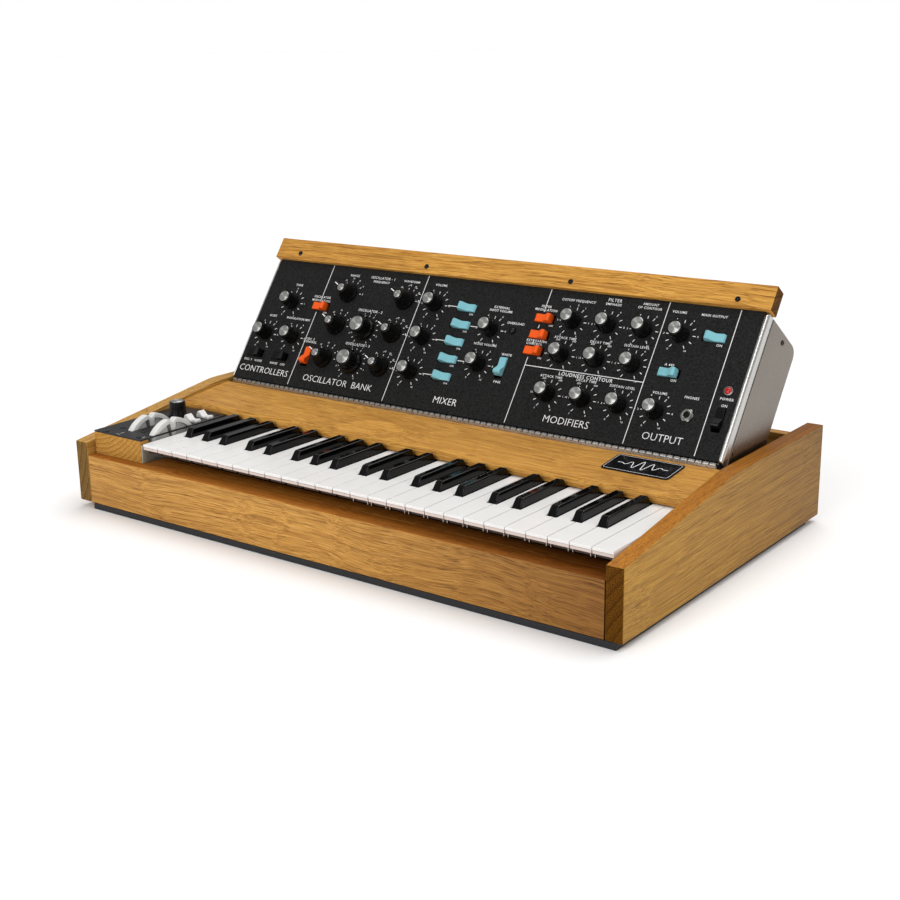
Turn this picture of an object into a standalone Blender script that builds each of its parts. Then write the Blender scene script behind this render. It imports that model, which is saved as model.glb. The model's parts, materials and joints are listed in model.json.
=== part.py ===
"""Analogue synthesizer: an oak cabinet with 44 keys and a hinged metal control panel.

Metres. +X is the player's right, +Y the rear and +Z up. The origin is under the middle
of the cabinet, on the plane that its base plate stands on.
"""

import math

import bmesh
import bpy
from mathutils import Matrix, Vector

GAP = 0.0003  # clearance between pieces that touch

# Cabinet
WIDTH = 0.728
DEPTH = 0.4308
FRONT = -DEPTH / 2
CHEEK_THICK = 0.0185
CHEEK_FRONT_TOP = 0.0790
CHEEK_REAR_TOP = 0.1106
CHEEK_KINK = 0.2172  # distance behind the front at which the sloping top edge turns level
CHEEK_KINK_RADIUS = 0.15
INNER = WIDTH / 2 - CHEEK_THICK - GAP  # half the width between the cheeks
BASE_THICK = 0.0071
WOOD_BOTTOM = BASE_THICK + GAP
BASE_LEFT = -0.341
BASE_RIGHT = 0.3575
BASE_REAR = 0.413
LEDGE_TOP = 0.0640
LEDGE_DEPTH = 0.045
RAIL_THICK = 0.020
LEDGE_THICK = 0.012
BLOCK_REAR = 0.0245  # the block under the left-hand plate stops short of its wheels
REAR_BOARD_FRONT = 0.4124
REAR_BOARD_TOP = 0.0972
REAR_RELIEF_FRONT = 0.4184  # the board's inner face above the slope that clears the swinging housing
REAR_RELIEF_SLOPE = (0.0570, 0.0820)  # heights where that slope starts and ends

# Wooden deck between the keys and the panel
DECK_FRONT = 0.1490
DECK_FRONT_BOTTOM = 0.0875
DECK_FRONT_TOP = 0.0985
DECK_REAR = 0.2290
DECK_REAR_TOP = 0.1065
DECK_RAIL_THICK = 0.013
DECK_RAIL_BOTTOM = 0.040
DECK_ROUND = 0.0065

# Keys: 26 white and 18 black, F to C
KEY_START = -0.2653
KEY_PITCH = 0.0235
WHITE_COUNT = 26
KEY_SIDE_GAP = 0.0003
KEY_FRONT = 0.0144
KEY_BOTTOM = 0.0802
KEY_TOP = 0.0865
BLACK_FRONT = 0.0640
BLACK_RAISED_END = 0.1465
BLACK_WIDTH = 0.0112
BLACK_TOP_WIDTH = 0.0086
BLACK_TOP = 0.0960
BLACK_SIDE_CLEARANCE = 0.0007
BLACK_BAR_FRONT = 0.181
BLACK_TAIL_END = 0.190
WHITE_BAR_FRONT = 0.199
WHITE_TAIL_END = 0.208
KEY_PIVOT = (0.209, 0.0780)  # distance behind the front, height

# Left-hand control plate
PLATE_LEFT = -0.3452
PLATE_RIGHT = -0.2663
PLATE_FRONT = 0.0126
PLATE_REAR = 0.1465
PLATE_BOTTOM = 0.0901
PLATE_TOP = 0.0914
WHEEL_RADIUS = 0.038
WHEEL_THICK = 0.009
WHEEL_CENTRE = (0.0645, 0.0674)  # distance behind the front, height
WHEEL_AXLE_RADIUS = 0.003
PITCH_WHEEL_X = -0.3085
MOD_WHEEL_X = -0.2729
RATE_KNOB = (-0.3078, 0.1084)
SIDE_ROCKER_X = -0.2820
SIDE_ROCKERS_BACK = (0.1058, 0.1262)
SIDE_ROCKER_HALF = 0.0105

# Control panel: u runs up its face from its lower edge, h stands out of its face
TILT = math.radians(54.2)
HINGE = (0.2316, 0.1096)  # distance behind the front, height of the piano hinge's axis
HINGE_U = -0.00266
HINGE_H = -0.00229
FACE_HALF = 0.3359
FACE_TOP = 0.1672
FACE_THICK = 0.0020
HOUSING_HALF = 0.3402
HOUSING_HEIGHT = 0.1665
HOUSING_DEPTH = 0.0880
SHEET = 0.0020
EDGE_RADIUS = 0.004
HOUSING_CORNER = 0.012
FLANGE_TOP = 0.176
FLANGE_DEPTH = 0.0128
RAIL_HALF = 0.3429
TOP_RAIL = (0.1676, 0.1954)  # u of the wooden rail's lower and upper edge
TOP_RAIL_PROUD = 0.0048
TOP_RAIL_BACK = 0.0125

# Knobs
SHAFT_RADIUS = 0.003
SHAFT_DEPTH = 0.012
HOLE_RADIUS = 0.0034
KNOB_SIDES = 12
SMALL_KNOB = (0.0097, 0.0084, 0.0078, 0.0193)  # radius at base, at top, of cap, height
LARGE_KNOB = (0.0140, 0.0112, 0.0101, 0.0200)
SELECTOR = (0.0125, 0.0078, 0.0052, 0.0195)
SELECTOR_POINTER = 0.0150
SELECTOR_REST = math.radians(64)  # first position, left of twelve o'clock
KNOB_LIFT = 0.0006

# Places of the controls on the panel, (x, u)
ROW_TOP = 0.1308
ROW_MIDDLE = 0.0868
ROW_LOW = 0.0424
RANGE_X = -0.2052
FREQUENCY_X = -0.1603
WAVEFORM_X = -0.1170
MIXER_KNOB_X = -0.0715
SOURCE_KNOB_X = 0.0170
FILTER_X = (0.1186, 0.1630, 0.2072)
FILTER_ROW = 0.0895
OUTPUT_X = 0.2512

SELECTORS = {
    "osc1_range": (RANGE_X, ROW_TOP),
    "osc1_waveform": (WAVEFORM_X, ROW_TOP),
    "osc2_range": (RANGE_X, ROW_MIDDLE),
    "osc2_waveform": (WAVEFORM_X, ROW_MIDDLE),
    "osc3_range": (RANGE_X, ROW_LOW),
    "osc3_waveform": (WAVEFORM_X, ROW_LOW),
}
LARGE_KNOBS = {
    "osc2_frequency": (FREQUENCY_X, ROW_MIDDLE),
    "osc3_frequency": (FREQUENCY_X, ROW_LOW),
}
# Small knobs, with the clock angle of the pointer at rest in degrees from twelve o'clock
SMALL_KNOBS = {
    "tune": (-0.2890, 0.1096, 0),
    "glide": (-0.3120, 0.0637, 0),
    "mod_mix": (-0.2669, 0.0640, 0),
    "osc1_volume": (MIXER_KNOB_X, ROW_TOP, 0),
    "osc2_volume": (MIXER_KNOB_X, ROW_MIDDLE, 0),
    "osc3_volume": (MIXER_KNOB_X, ROW_LOW, 0),
    "external_volume": (SOURCE_KNOB_X, 0.1085, 0),
    "noise_volume": (SOURCE_KNOB_X, 0.0645, 0),
    "cutoff": (FILTER_X[0], ROW_TOP, 150),
    "emphasis": (FILTER_X[1], ROW_TOP, -150),
    "contour_amount": (FILTER_X[2], ROW_TOP, -150),
    "filter_attack": (FILTER_X[0], FILTER_ROW, -150),
    "filter_decay": (FILTER_X[1], FILTER_ROW, -150),
    "filter_sustain": (FILTER_X[2], FILTER_ROW, 150),
    "loudness_attack": (FILTER_X[0], ROW_LOW, -150),
    "loudness_decay": (FILTER_X[1], ROW_LOW, -150),
    "loudness_sustain": (FILTER_X[2], ROW_LOW, 150),
    "main_volume": (OUTPUT_X, ROW_TOP, 0),
    "phones_volume": (OUTPUT_X, ROW_LOW, 0),
}

# Rocker switches
ROCKER_HALF = 0.0122
ROCKER_HALF_WIDTH = 0.0046
ROCKER_PIVOT = -0.003
ROCKER_TILT = math.radians(18)
WINDOW_HALF = 0.0132
WINDOW_HALF_WIDTH = 0.0051
# x, then every u on one axis; these lie across the panel and turn about an axis up it
ROCKERS_ACROSS = {
    "rocker_osc_modulation": (-0.2415, (0.1093,)),
    "rocker_mod_source_left": (-0.3155, (0.0360,)),
    "rocker_mod_source_right": (-0.2745, (0.0360,)),
    "rockers_mixer": (-0.0262, (0.1315, 0.1095, 0.0875, 0.0655, 0.0435)),
    "rockers_filter": (0.0822, (0.1300, 0.1098, 0.0900)),
    "rocker_main_output": (0.2895, (0.1322,)),
    "rocker_tuning_tone": (0.2520, (0.0868,)),
}
# x and u; these stand up the panel and turn about an axis across it
# rockers whose left end, or upper end if they stand upright, is pressed at rest
PRESSED_LEFT = (
    "rocker_osc_modulation",
    "rocker_mod_source_left",
    "rocker_mod_source_right",
    "rockers_filter",
    "rocker_tuning_tone",
    "rocker_osc3_control",
    "rocker_noise_type",
    "rocker_power",
)
ROCKERS_UPRIGHT = {
    "rocker_osc3_control": (-0.2325, 0.0420),
    "rocker_noise_type": (0.0487, 0.0650),
    "rocker_power": (0.3230, 0.0435),
}

# Prop that stands under the raised panel
PROP_PIVOT = (0.2610, 0.0115)
PROP_LENGTH = 0.0582
PROP_ANGLE = math.radians(49.8)
PROP_HALF_THICK = 0.003
PROP_HALF = 0.160

OAK = ("oak", (0.55, 0.33, 0.13), 0.5, 0.0)
BLACK_METAL = ("black_metal", (0.03, 0.03, 0.035), 0.55, 0.2)
PANEL_BLACK = ("panel_black", (0.02, 0.02, 0.02), 0.6, 0.1)
HOUSING_GREY = ("housing_aluminium", (0.45, 0.42, 0.39), 0.35, 0.9)
HINGE_STEEL = ("hinge_steel", (0.7, 0.7, 0.7), 0.3, 1.0)
KEY_WHITE = ("key_white", (0.85, 0.85, 0.83), 0.25, 0.0)
KEY_BLACK = ("key_black", (0.01, 0.01, 0.01), 0.15, 0.0)
KNOB_BLACK = ("knob_black", (0.015, 0.015, 0.015), 0.3, 0.0)
ROCKER_WHITE = ("rocker_white", (0.85, 0.85, 0.83), 0.35, 0.0)
ROCKER_ORANGE = ("rocker_orange", (0.95, 0.12, 0.02), 0.35, 0.0)
ROCKER_BLUE = ("rocker_blue", (0.18, 0.55, 0.62), 0.35, 0.0)
CIRCUIT_GREEN = ("circuit_green", (0.02, 0.16, 0.06), 0.5, 0.0)


def clear_scene():
    for obj in list(bpy.data.objects):
        bpy.data.objects.remove(obj)


def material(look):
    name, colour, roughness, metallic = look
    found = bpy.data.materials.get(name)
    if found:
        return found
    made = bpy.data.materials.new(name)
    made.use_nodes = True
    shader = made.node_tree.nodes["Principled BSDF"]
    shader.inputs["Base Color"].default_value = (*colour, 1.0)
    shader.inputs["Roughness"].default_value = roughness
    shader.inputs["Metallic"].default_value = metallic
    return made


def object_of(name, bm, look=None, place=None, smooth=False):
    """An object from a bmesh. With no look it is a cutter or a helper, left out of the build."""
    bmesh.ops.recalc_face_normals(bm, faces=bm.faces)
    mesh = bpy.data.meshes.new(name)
    bm.to_mesh(mesh)
    bm.free()
    obj = bpy.data.objects.new(name, mesh)
    bpy.context.scene.collection.objects.link(obj)
    if place is not None:
        obj.matrix_world = place
    if look is None:
        obj.hide_render = True
        obj.display_type = "WIRE"
    else:
        mesh.materials.append(material(look))
    if smooth:
        mesh.shade_smooth()
        mesh.set_sharp_from_angle(angle=math.radians(35))
    return obj


def add_box(bm, low, high):
    corners = [Vector((x, y, z)) for x in (low[0], high[0]) for y in (low[1], high[1]) for z in (low[2], high[2])]
    verts = [bm.verts.new(corner) for corner in corners]
    for ring in ((0, 1, 3, 2), (4, 6, 7, 5), (0, 4, 5, 1), (2, 3, 7, 6), (0, 2, 6, 4), (1, 5, 7, 3)):
        bm.faces.new([verts[i] for i in ring])
    return verts


def add_prism(bm, outline, start, end, axis="X"):
    """Extrudes a closed outline along an axis. The outline lies in the other two axes, in order."""
    places = {
        "X": lambda a, b, along: (along, a, b),
        "Y": lambda a, b, along: (a, along, b),
        "Z": lambda a, b, along: (a, b, along),
    }
    place = places[axis]
    rings = [[bm.verts.new(place(a, b, along)) for a, b in outline] for along in (start, end)]
    bm.faces.new(rings[0])
    bm.faces.new(rings[1])
    for i in range(len(outline)):
        j = (i + 1) % len(outline)
        bm.faces.new((rings[0][i], rings[0][j], rings[1][j], rings[1][i]))


def circle(centre, radius, sides):
    """Points round a circle, with a flat side facing each axis."""
    return [
        (
            centre[0] + radius * math.cos((i + 0.5) * math.tau / sides),
            centre[1] + radius * math.sin((i + 0.5) * math.tau / sides),
        )
        for i in range(sides)
    ]


def arc(centre, radius, start, end, steps):
    """Points on an arc, with its angles in degrees."""
    angles = [math.radians(start + (end - start) * i / steps) for i in range(steps + 1)]
    return [(centre[0] + radius * math.cos(a), centre[1] + radius * math.sin(a)) for a in angles]


def add_lathe(bm, profile, sides):
    """Turns a profile of (radius, height) about Z. Its first and last points lie on the axis."""
    rings = []
    for radius, height in profile:
        if radius == 0:
            rings.append([bm.verts.new((0, 0, height))])
        else:
            rings.append([bm.verts.new((x, y, height)) for x, y in circle((0, 0), radius, sides)])
    for low, high in zip(rings, rings[1:]):
        for i in range(sides):
            j = (i + 1) % sides
            corners = [low[i % len(low)], low[j % len(low)], high[j % len(high)], high[i % len(high)]]
            bm.faces.new(list(dict.fromkeys(corners)))


def boolean(obj, other, operation):
    modifier = obj.modifiers.new(other.name, "BOOLEAN")
    modifier.operation = operation
    modifier.solver = "EXACT"
    modifier.object = other


def cut(obj, other):
    boolean(obj, other, "DIFFERENCE")


def join(obj, other):
    boolean(obj, other, "UNION")


def back(distance):
    """The Y of a point that lies this far behind the front of the cabinet."""
    return FRONT + distance


def outline_back(points):
    return [(back(y), z) for y, z in points]


def empty(name, place):
    obj = bpy.data.objects.new(name, None)
    bpy.context.scene.collection.objects.link(obj)
    obj.matrix_world = place
    return obj


def panel_matrix():
    """From panel coordinates (x, u, h) to the world, at rest."""
    turn = Matrix.Rotation(TILT, 4, "X")
    hinge = Matrix.Translation((0, back(HINGE[0]), HINGE[1]))
    return hinge @ turn @ Matrix.Translation((0, -HINGE_U, -HINGE_H))


def on_panel(x=0.0, u=0.0, h=0.0):
    return panel_matrix() @ Matrix.Translation((x, u, h))


def hang(obj, parent):
    """Parents an object and leaves it where it is."""
    place = obj.matrix_world.copy()
    obj.parent = parent
    obj.matrix_parent_inverse = parent.matrix_world.inverted()
    obj.matrix_world = place


# ---- cabinet ----


def cheek_outline():
    slope = math.atan2(CHEEK_REAR_TOP - CHEEK_FRONT_TOP, CHEEK_KINK)
    tangent = CHEEK_KINK_RADIUS * math.tan(slope / 2)
    centre = (CHEEK_KINK + tangent, CHEEK_REAR_TOP - CHEEK_KINK_RADIUS)
    kink = arc(centre, CHEEK_KINK_RADIUS, 90, 90 + math.degrees(slope), 3)
    top = [(DEPTH, CHEEK_REAR_TOP), *kink, (0, CHEEK_FRONT_TOP)]
    return outline_back([(0, WOOD_BOTTOM), (DEPTH, WOOD_BOTTOM), *top])


def make_cheeks():
    outer = WIDTH / 2
    for name, start in (("left_cheek", -outer), ("right_cheek", outer - CHEEK_THICK)):
        bm = bmesh.new()
        add_prism(bm, cheek_outline(), start, start + CHEEK_THICK)
        object_of(name, bm, OAK)


def make_base_plate():
    bm = bmesh.new()
    add_box(bm, (BASE_LEFT, back(0), 0), (BASE_RIGHT, back(BASE_REAR), BASE_THICK))
    base = object_of("base_plate", bm, BLACK_METAL)
    lugs = bmesh.new()
    holes = bmesh.new()
    lug_half = 0.005
    for side in (-1, 1):
        centre = side * (PROP_HALF + 0.001 + lug_half)
        low = (centre - lug_half, back(PROP_PIVOT[0] - lug_half), BASE_THICK - 0.001)
        high = (centre + lug_half, back(PROP_PIVOT[0] + lug_half), PROP_PIVOT[1] + lug_half)
        add_box(lugs, low, high)
        hole = circle((back(PROP_PIVOT[0]), PROP_PIVOT[1]), 0.0023, 8)
        add_prism(holes, hole, centre - 0.006, centre + 0.006)
    join(base, object_of("base_lugs", lugs))
    cut(base, object_of("base_lug_holes", holes))


def make_front_rail():
    outline = [
        (0, WOOD_BOTTOM),
        (RAIL_THICK, WOOD_BOTTOM),
        (RAIL_THICK, LEDGE_TOP - LEDGE_THICK),
        (LEDGE_DEPTH, LEDGE_TOP - LEDGE_THICK),
        (LEDGE_DEPTH, LEDGE_TOP),
        (0, LEDGE_TOP),
    ]
    bm = bmesh.new()
    add_prism(bm, outline_back(outline), -INNER, INNER)
    rail = object_of("front_rail", bm, OAK)
    block = bmesh.new()
    low = (-INNER, back(PLATE_FRONT - GAP), LEDGE_TOP - 0.002)
    high = (KEY_START - GAP, back(LEDGE_DEPTH - 0.001), PLATE_BOTTOM - GAP)
    add_box(block, low, high)
    join(rail, object_of("rail_block", block))
    wheel_room = bmesh.new()
    low = (-INNER - 0.001, back(BLOCK_REAR), LEDGE_TOP - LEDGE_THICK - 0.001)
    high = (KEY_START - 2 * GAP, back(LEDGE_DEPTH + 0.001), PLATE_BOTTOM)
    add_box(wheel_room, low, high)
    cut(rail, object_of("rail_wheel_room", wheel_room))


def make_key_deck():
    slope = math.degrees(math.atan2(DECK_REAR_TOP - DECK_FRONT_TOP, DECK_REAR - DECK_FRONT - DECK_ROUND))
    round_centre = (DECK_FRONT + DECK_ROUND, DECK_FRONT_TOP - DECK_ROUND)
    rounded_front = arc(round_centre, DECK_ROUND, 180, 90 + slope, 4)
    outline = [
        (DECK_FRONT + 0.001, DECK_FRONT_BOTTOM),
        *rounded_front,
        (DECK_REAR, DECK_REAR_TOP),
        (DECK_REAR, DECK_RAIL_BOTTOM),
        (DECK_REAR - DECK_RAIL_THICK, DECK_RAIL_BOTTOM),
        (DECK_REAR - DECK_RAIL_THICK, DECK_FRONT_BOTTOM + 0.006),
    ]
    bm = bmesh.new()
    add_prism(bm, outline_back(outline), -INNER, INNER)
    object_of("key_deck", bm, OAK)


def make_rear_board():
    """The back of the cabinet, thinned at the top inside so that the panel's housing swings past it."""
    low, high = REAR_RELIEF_SLOPE
    outline = [
        (REAR_BOARD_FRONT, WOOD_BOTTOM),
        (REAR_BOARD_FRONT, low),
        (REAR_RELIEF_FRONT, high),
        (REAR_RELIEF_FRONT, REAR_BOARD_TOP),
        (DEPTH, REAR_BOARD_TOP),
        (DEPTH, WOOD_BOTTOM),
    ]
    bm = bmesh.new()
    add_prism(bm, [(back(y), z) for y, z in outline], -INNER, INNER, "X")
    object_of("rear_board", bm, OAK)


def make_keyboard_frame():
    """A folded steel tray under the keys, whose rear upstand carries their pivots."""
    front = LEDGE_DEPTH + GAP
    rear = DECK_REAR - DECK_RAIL_THICK - GAP
    floor = 0.044
    steel = 0.003
    top = 0.086
    outline = [
        (front, floor),
        (rear, floor),
        (rear, top),
        (rear - steel, top),
        (rear - steel, floor + steel),
        (front, floor + steel),
    ]
    bm = bmesh.new()
    add_prism(bm, outline_back(outline), KEY_START, INNER - 0.002)
    object_of("keyboard_frame", bm, HINGE_STEEL)


# ---- keys ----


def black_centres():
    """The x of every black key, from the white keys' boundaries. The lowest white key is an F."""
    offsets = {0: -0.17, 1: 0.0, 2: 0.17, 4: -0.10, 5: 0.10}  # F#, G#, A#, C#, D#
    centres = []
    for boundary in range(1, WHITE_COUNT):
        offset = offsets.get((boundary - 1) % 7)
        if offset is not None:
            centres.append(KEY_START + (boundary + offset) * KEY_PITCH)
    return centres


def white_sides(index):
    """A white key's left and right edge: wide at the front, then narrow beside the black keys."""
    left = KEY_START + index * KEY_PITCH
    right = min(left + KEY_PITCH, INNER)
    half = BLACK_WIDTH / 2 + BLACK_SIDE_CLEARANCE
    narrow_left = left + KEY_SIDE_GAP
    narrow_right = right - KEY_SIDE_GAP
    for centre in black_centres():
        if abs(centre - left) < KEY_PITCH / 2:
            narrow_left = centre + half
        if abs(centre - right) < KEY_PITCH / 2:
            narrow_right = centre - half
    return (left + KEY_SIDE_GAP, right - KEY_SIDE_GAP), (narrow_left, narrow_right)


def white_key_edge(index, tail):
    """The points round a white key seen from above, from the left end of its tail to the right."""
    wide, narrow = white_sides(index)
    notch = back(BLACK_FRONT - BLACK_SIDE_CLEARANCE)
    points = [(narrow[0], back(tail))]
    if narrow[0] > wide[0]:
        points += [(narrow[0], notch), (wide[0], notch)]
    points += [(wide[0], back(KEY_FRONT)), (wide[1], back(KEY_FRONT))]
    if narrow[1] < wide[1]:
        points += [(wide[1], notch), (narrow[1], notch)]
    return points + [(narrow[1], back(tail))]


def make_white_keys():
    bm = bmesh.new()
    add_prism(bm, white_key_edge(0, WHITE_TAIL_END), KEY_BOTTOM, KEY_TOP, "Z")
    object_of("key_low_f", bm, KEY_WHITE, smooth=False)
    outline = []
    for index in range(1, WHITE_COUNT):
        outline += white_key_edge(index, WHITE_BAR_FRONT)
    outline += [(outline[-1][0], back(WHITE_TAIL_END)), (outline[0][0], back(WHITE_TAIL_END))]
    bm = bmesh.new()
    add_prism(bm, outline, KEY_BOTTOM, KEY_TOP, "Z")
    object_of("white_keys", bm, KEY_WHITE)


def add_black_key(bm, centre, drop):
    """A black key lofted along its length. With a drop its tail reaches down to the common bar."""
    low = KEY_BOTTOM - 0.0012
    flat = KEY_TOP - GAP
    full = BLACK_WIDTH
    stations = [
        (BLACK_FRONT, low, flat, full),
        (BLACK_FRONT + 0.0072, low, BLACK_TOP, BLACK_TOP_WIDTH),
        (BLACK_RAISED_END - 0.0025, low, BLACK_TOP, BLACK_TOP_WIDTH),
        (BLACK_RAISED_END, low, flat, full),
    ]
    if drop:
        stations += [
            (BLACK_BAR_FRONT - 0.0005, low, flat, full),
            (BLACK_BAR_FRONT + 0.0005, 0.0700, flat, full),
            (BLACK_TAIL_END, 0.0700, flat, full),
        ]
    else:
        stations.append((WHITE_TAIL_END, low, flat, full))
    rings = []
    for distance, bottom, top, top_width in stations:
        y = back(distance)
        corners = [(-full / 2, bottom), (full / 2, bottom), (top_width / 2, top), (-top_width / 2, top)]
        rings.append([bm.verts.new((centre + x, y, z)) for x, z in corners])
    for first, second in zip(rings, rings[1:]):
        for i in range(4):
            j = (i + 1) % 4
            bm.faces.new((first[i], first[j], second[j], second[i]))
    bm.faces.new(rings[0])
    bm.faces.new(rings[-1])


def make_black_keys():
    centres = black_centres()
    bm = bmesh.new()
    add_black_key(bm, centres[0], drop=False)
    object_of("key_low_f_sharp", bm, KEY_BLACK)
    keys = bmesh.new()
    for centre in centres[1:]:
        add_black_key(keys, centre, drop=True)
    black_keys = object_of("black_keys", keys, KEY_BLACK)
    bar = bmesh.new()
    half = BLACK_WIDTH / 2
    low = (centres[1] - half + 0.001, back(BLACK_BAR_FRONT + 0.001), 0.0660)
    high = (centres[-1] + half - 0.001, back(BLACK_TAIL_END - 0.001), 0.0740)
    add_box(bar, low, high)
    join(black_keys, object_of("black_key_bar", bar))


# ---- left-hand controls ----


def wheel_axis(x):
    return Matrix.Translation((x, back(WHEEL_CENTRE[0]), WHEEL_CENTRE[1]))


def make_wheels():
    """Two thick wheels, each with a thumb notch at the top, turning on one fixed axle."""
    notch_depth = 0.0022
    notch_half = 6.0
    for name, x in (("pitch_wheel", PITCH_WHEEL_X), ("mod_wheel", MOD_WHEEL_X)):
        rim = arc((0, 0), WHEEL_RADIUS, 90 + notch_half, 450 - notch_half, 30)
        rim.append((0, WHEEL_RADIUS - notch_depth))
        bm = bmesh.new()
        add_prism(bm, rim, -WHEEL_THICK / 2, WHEEL_THICK / 2)
        wheel = object_of(name, bm, ROCKER_WHITE, wheel_axis(x))
        bore = bmesh.new()
        add_prism(bore, circle((0, 0), WHEEL_AXLE_RADIUS + GAP, 12), -WHEEL_THICK, WHEEL_THICK)
        cut(wheel, object_of(name + "_bore", bore, place=wheel_axis(x)))


def make_wheel_plate():
    """The plate that the wheels stand through, with the hanger that holds their axle."""
    bm = bmesh.new()
    add_box(bm, (PLATE_LEFT, back(PLATE_FRONT), PLATE_BOTTOM), (PLATE_RIGHT, back(PLATE_REAR), PLATE_TOP))
    plate = object_of("wheel_plate", bm, BLACK_METAL)
    middle = (PITCH_WHEEL_X + MOD_WHEEL_X) / 2
    hanger = bmesh.new()
    low = (middle - 0.006, back(WHEEL_CENTRE[0] - 0.007), WHEEL_CENTRE[1] - 0.007)
    high = (middle + 0.006, back(WHEEL_CENTRE[0] + 0.007), PLATE_BOTTOM + 0.0005)
    add_box(hanger, low, high)
    join(plate, object_of("wheel_hanger", hanger))
    axle = bmesh.new()
    overhang = WHEEL_THICK / 2 + 0.001
    ring = circle((back(WHEEL_CENTRE[0]), WHEEL_CENTRE[1]), WHEEL_AXLE_RADIUS, 12)
    add_prism(axle, ring, PITCH_WHEEL_X - overhang, MOD_WHEEL_X + overhang)
    join(plate, object_of("wheel_axle", axle))
    openings = bmesh.new()
    chord = math.sqrt(WHEEL_RADIUS**2 - (PLATE_BOTTOM - WHEEL_CENTRE[1]) ** 2) + 0.001
    for x in (PITCH_WHEEL_X, MOD_WHEEL_X):
        half = WHEEL_THICK / 2 + 0.0005
        low = (x - half, back(WHEEL_CENTRE[0] - chord), PLATE_BOTTOM - 0.001)
        high = (x + half, back(WHEEL_CENTRE[0] + chord), PLATE_TOP + 0.001)
        add_box(openings, low, high)
    for distance in SIDE_ROCKERS_BACK:
        half = SIDE_ROCKER_HALF + 0.0010
        width = ROCKER_HALF_WIDTH + 0.0005
        low = (SIDE_ROCKER_X - half, back(distance) - width, PLATE_BOTTOM - 0.001)
        high = (SIDE_ROCKER_X + half, back(distance) + width, PLATE_TOP + 0.001)
        add_box(openings, low, high)
    knob_hole = circle((RATE_KNOB[0], back(RATE_KNOB[1])), HOLE_RADIUS, 8)
    add_prism(openings, knob_hole, PLATE_BOTTOM - 0.001, PLATE_TOP + 0.001, "Z")
    cut(plate, object_of("plate_openings", openings))


# ---- controls ----


def rocker_outline(half):
    """A rocker seen along its axis: two raised ends with a valley between. Height 0 is the panel's face."""
    end = half - 0.0008
    ridge = half * 0.70
    return [
        (-end, -0.0015),
        (-half * 0.72, -0.0060),
        (half * 0.72, -0.0060),
        (end, -0.0015),
        (end, 0.0036),
        (ridge, 0.0054),
        (0, 0.0020),
        (-ridge, 0.0054),
        (-end, 0.0036),
    ]


def tilted(points, angle):
    """Turns an outline clockwise about the rocker's pivot: right end pressed, or left if negative."""
    turned = []
    for s, h in points:
        rise = h - ROCKER_PIVOT
        turned.append(
            (
                s * math.cos(angle) + rise * math.sin(angle),
                rise * math.cos(angle) - s * math.sin(angle),
            )
        )
    return turned


def make_rockers_on_axis(name, look, place, stations, half):
    """Rockers on one spindle. The local Y axis is the spindle, and X and Z its cross-section."""
    bm = bmesh.new()
    outline = tilted(rocker_outline(half), -ROCKER_TILT if name in PRESSED_LEFT else ROCKER_TILT)
    for along in stations:
        add_prism(bm, outline, along - ROCKER_HALF_WIDTH, along + ROCKER_HALF_WIDTH, "Y")
    rocker = object_of(name, bm, look, place)
    if len(stations) > 1:
        spindle = bmesh.new()
        add_box(spindle, (-0.003, min(stations), -0.006), (0.003, max(stations), -0.0015))
        join(rocker, object_of(name + "_spindle", spindle, place=place))
    return rocker


def make_side_rockers():
    centre = sum(SIDE_ROCKERS_BACK) / 2
    place = Matrix.Translation((SIDE_ROCKER_X, back(centre), PLATE_TOP + ROCKER_PIVOT))
    stations = [distance - centre for distance in SIDE_ROCKERS_BACK]
    make_rockers_on_axis("side_rockers", ROCKER_WHITE, place, stations, SIDE_ROCKER_HALF)


def make_panel_rockers(frame):
    orange = ("rocker_osc_modulation", "rockers_filter", "rocker_osc3_control")
    black = ("rocker_mod_source_left", "rocker_mod_source_right", "rocker_power")

    def look_of(name):
        if name in orange:
            return ROCKER_ORANGE
        return KNOB_BLACK if name in black else ROCKER_BLUE

    for name, (x, rows) in ROCKERS_ACROSS.items():
        centre = (min(rows) + max(rows)) / 2
        place = on_panel(x, centre, ROCKER_PIVOT)
        stations = [row - centre for row in rows]
        hang(make_rockers_on_axis(name, look_of(name), place, stations, ROCKER_HALF), frame)
    for name, (x, u) in ROCKERS_UPRIGHT.items():
        place = on_panel(x, u, ROCKER_PIVOT) @ Matrix.Rotation(-math.pi / 2, 4, "Z")
        hang(make_rockers_on_axis(name, look_of(name), place, [0.0], ROCKER_HALF), frame)


def knob_profile(size):
    base, top, cap, height = size
    return [
        (0, -SHAFT_DEPTH),
        (SHAFT_RADIUS, -SHAFT_DEPTH),
        (SHAFT_RADIUS, KNOB_LIFT),
        (base, KNOB_LIFT),
        (top, height - 0.0013),
        (cap, height - 0.0013),
        (cap, height),
        (0, height),
    ]


def make_knob(name, look, place, size):
    bm = bmesh.new()
    add_lathe(bm, knob_profile(size), KNOB_SIDES)
    return object_of(name, bm, look, place, smooth=True)


def make_selector(name, place):
    """A pointer knob: a tapered body with a fin out to one side."""
    knob = make_knob(name, KNOB_BLACK, place @ Matrix.Rotation(SELECTOR_REST, 4, "Z"), SELECTOR)
    fin = bmesh.new()
    low, high = (0.0030, KNOB_LIFT), (0.0012, SELECTOR[3] - 0.0018)
    corners = [(-low[0], low[1]), (low[0], low[1]), (high[0], high[1]), (-high[0], high[1])]
    rings = []
    for y in (0.0, SELECTOR_POINTER):
        rings.append([fin.verts.new((x, y, z)) for x, z in corners])
    fin.faces.new(rings[0])
    fin.faces.new(rings[1])
    for i in range(4):
        j = (i + 1) % 4
        fin.faces.new((rings[0][i], rings[0][j], rings[1][j], rings[1][i]))
    join(knob, object_of(name + "_fin", fin, place=knob.matrix_world))
    return knob


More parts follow.
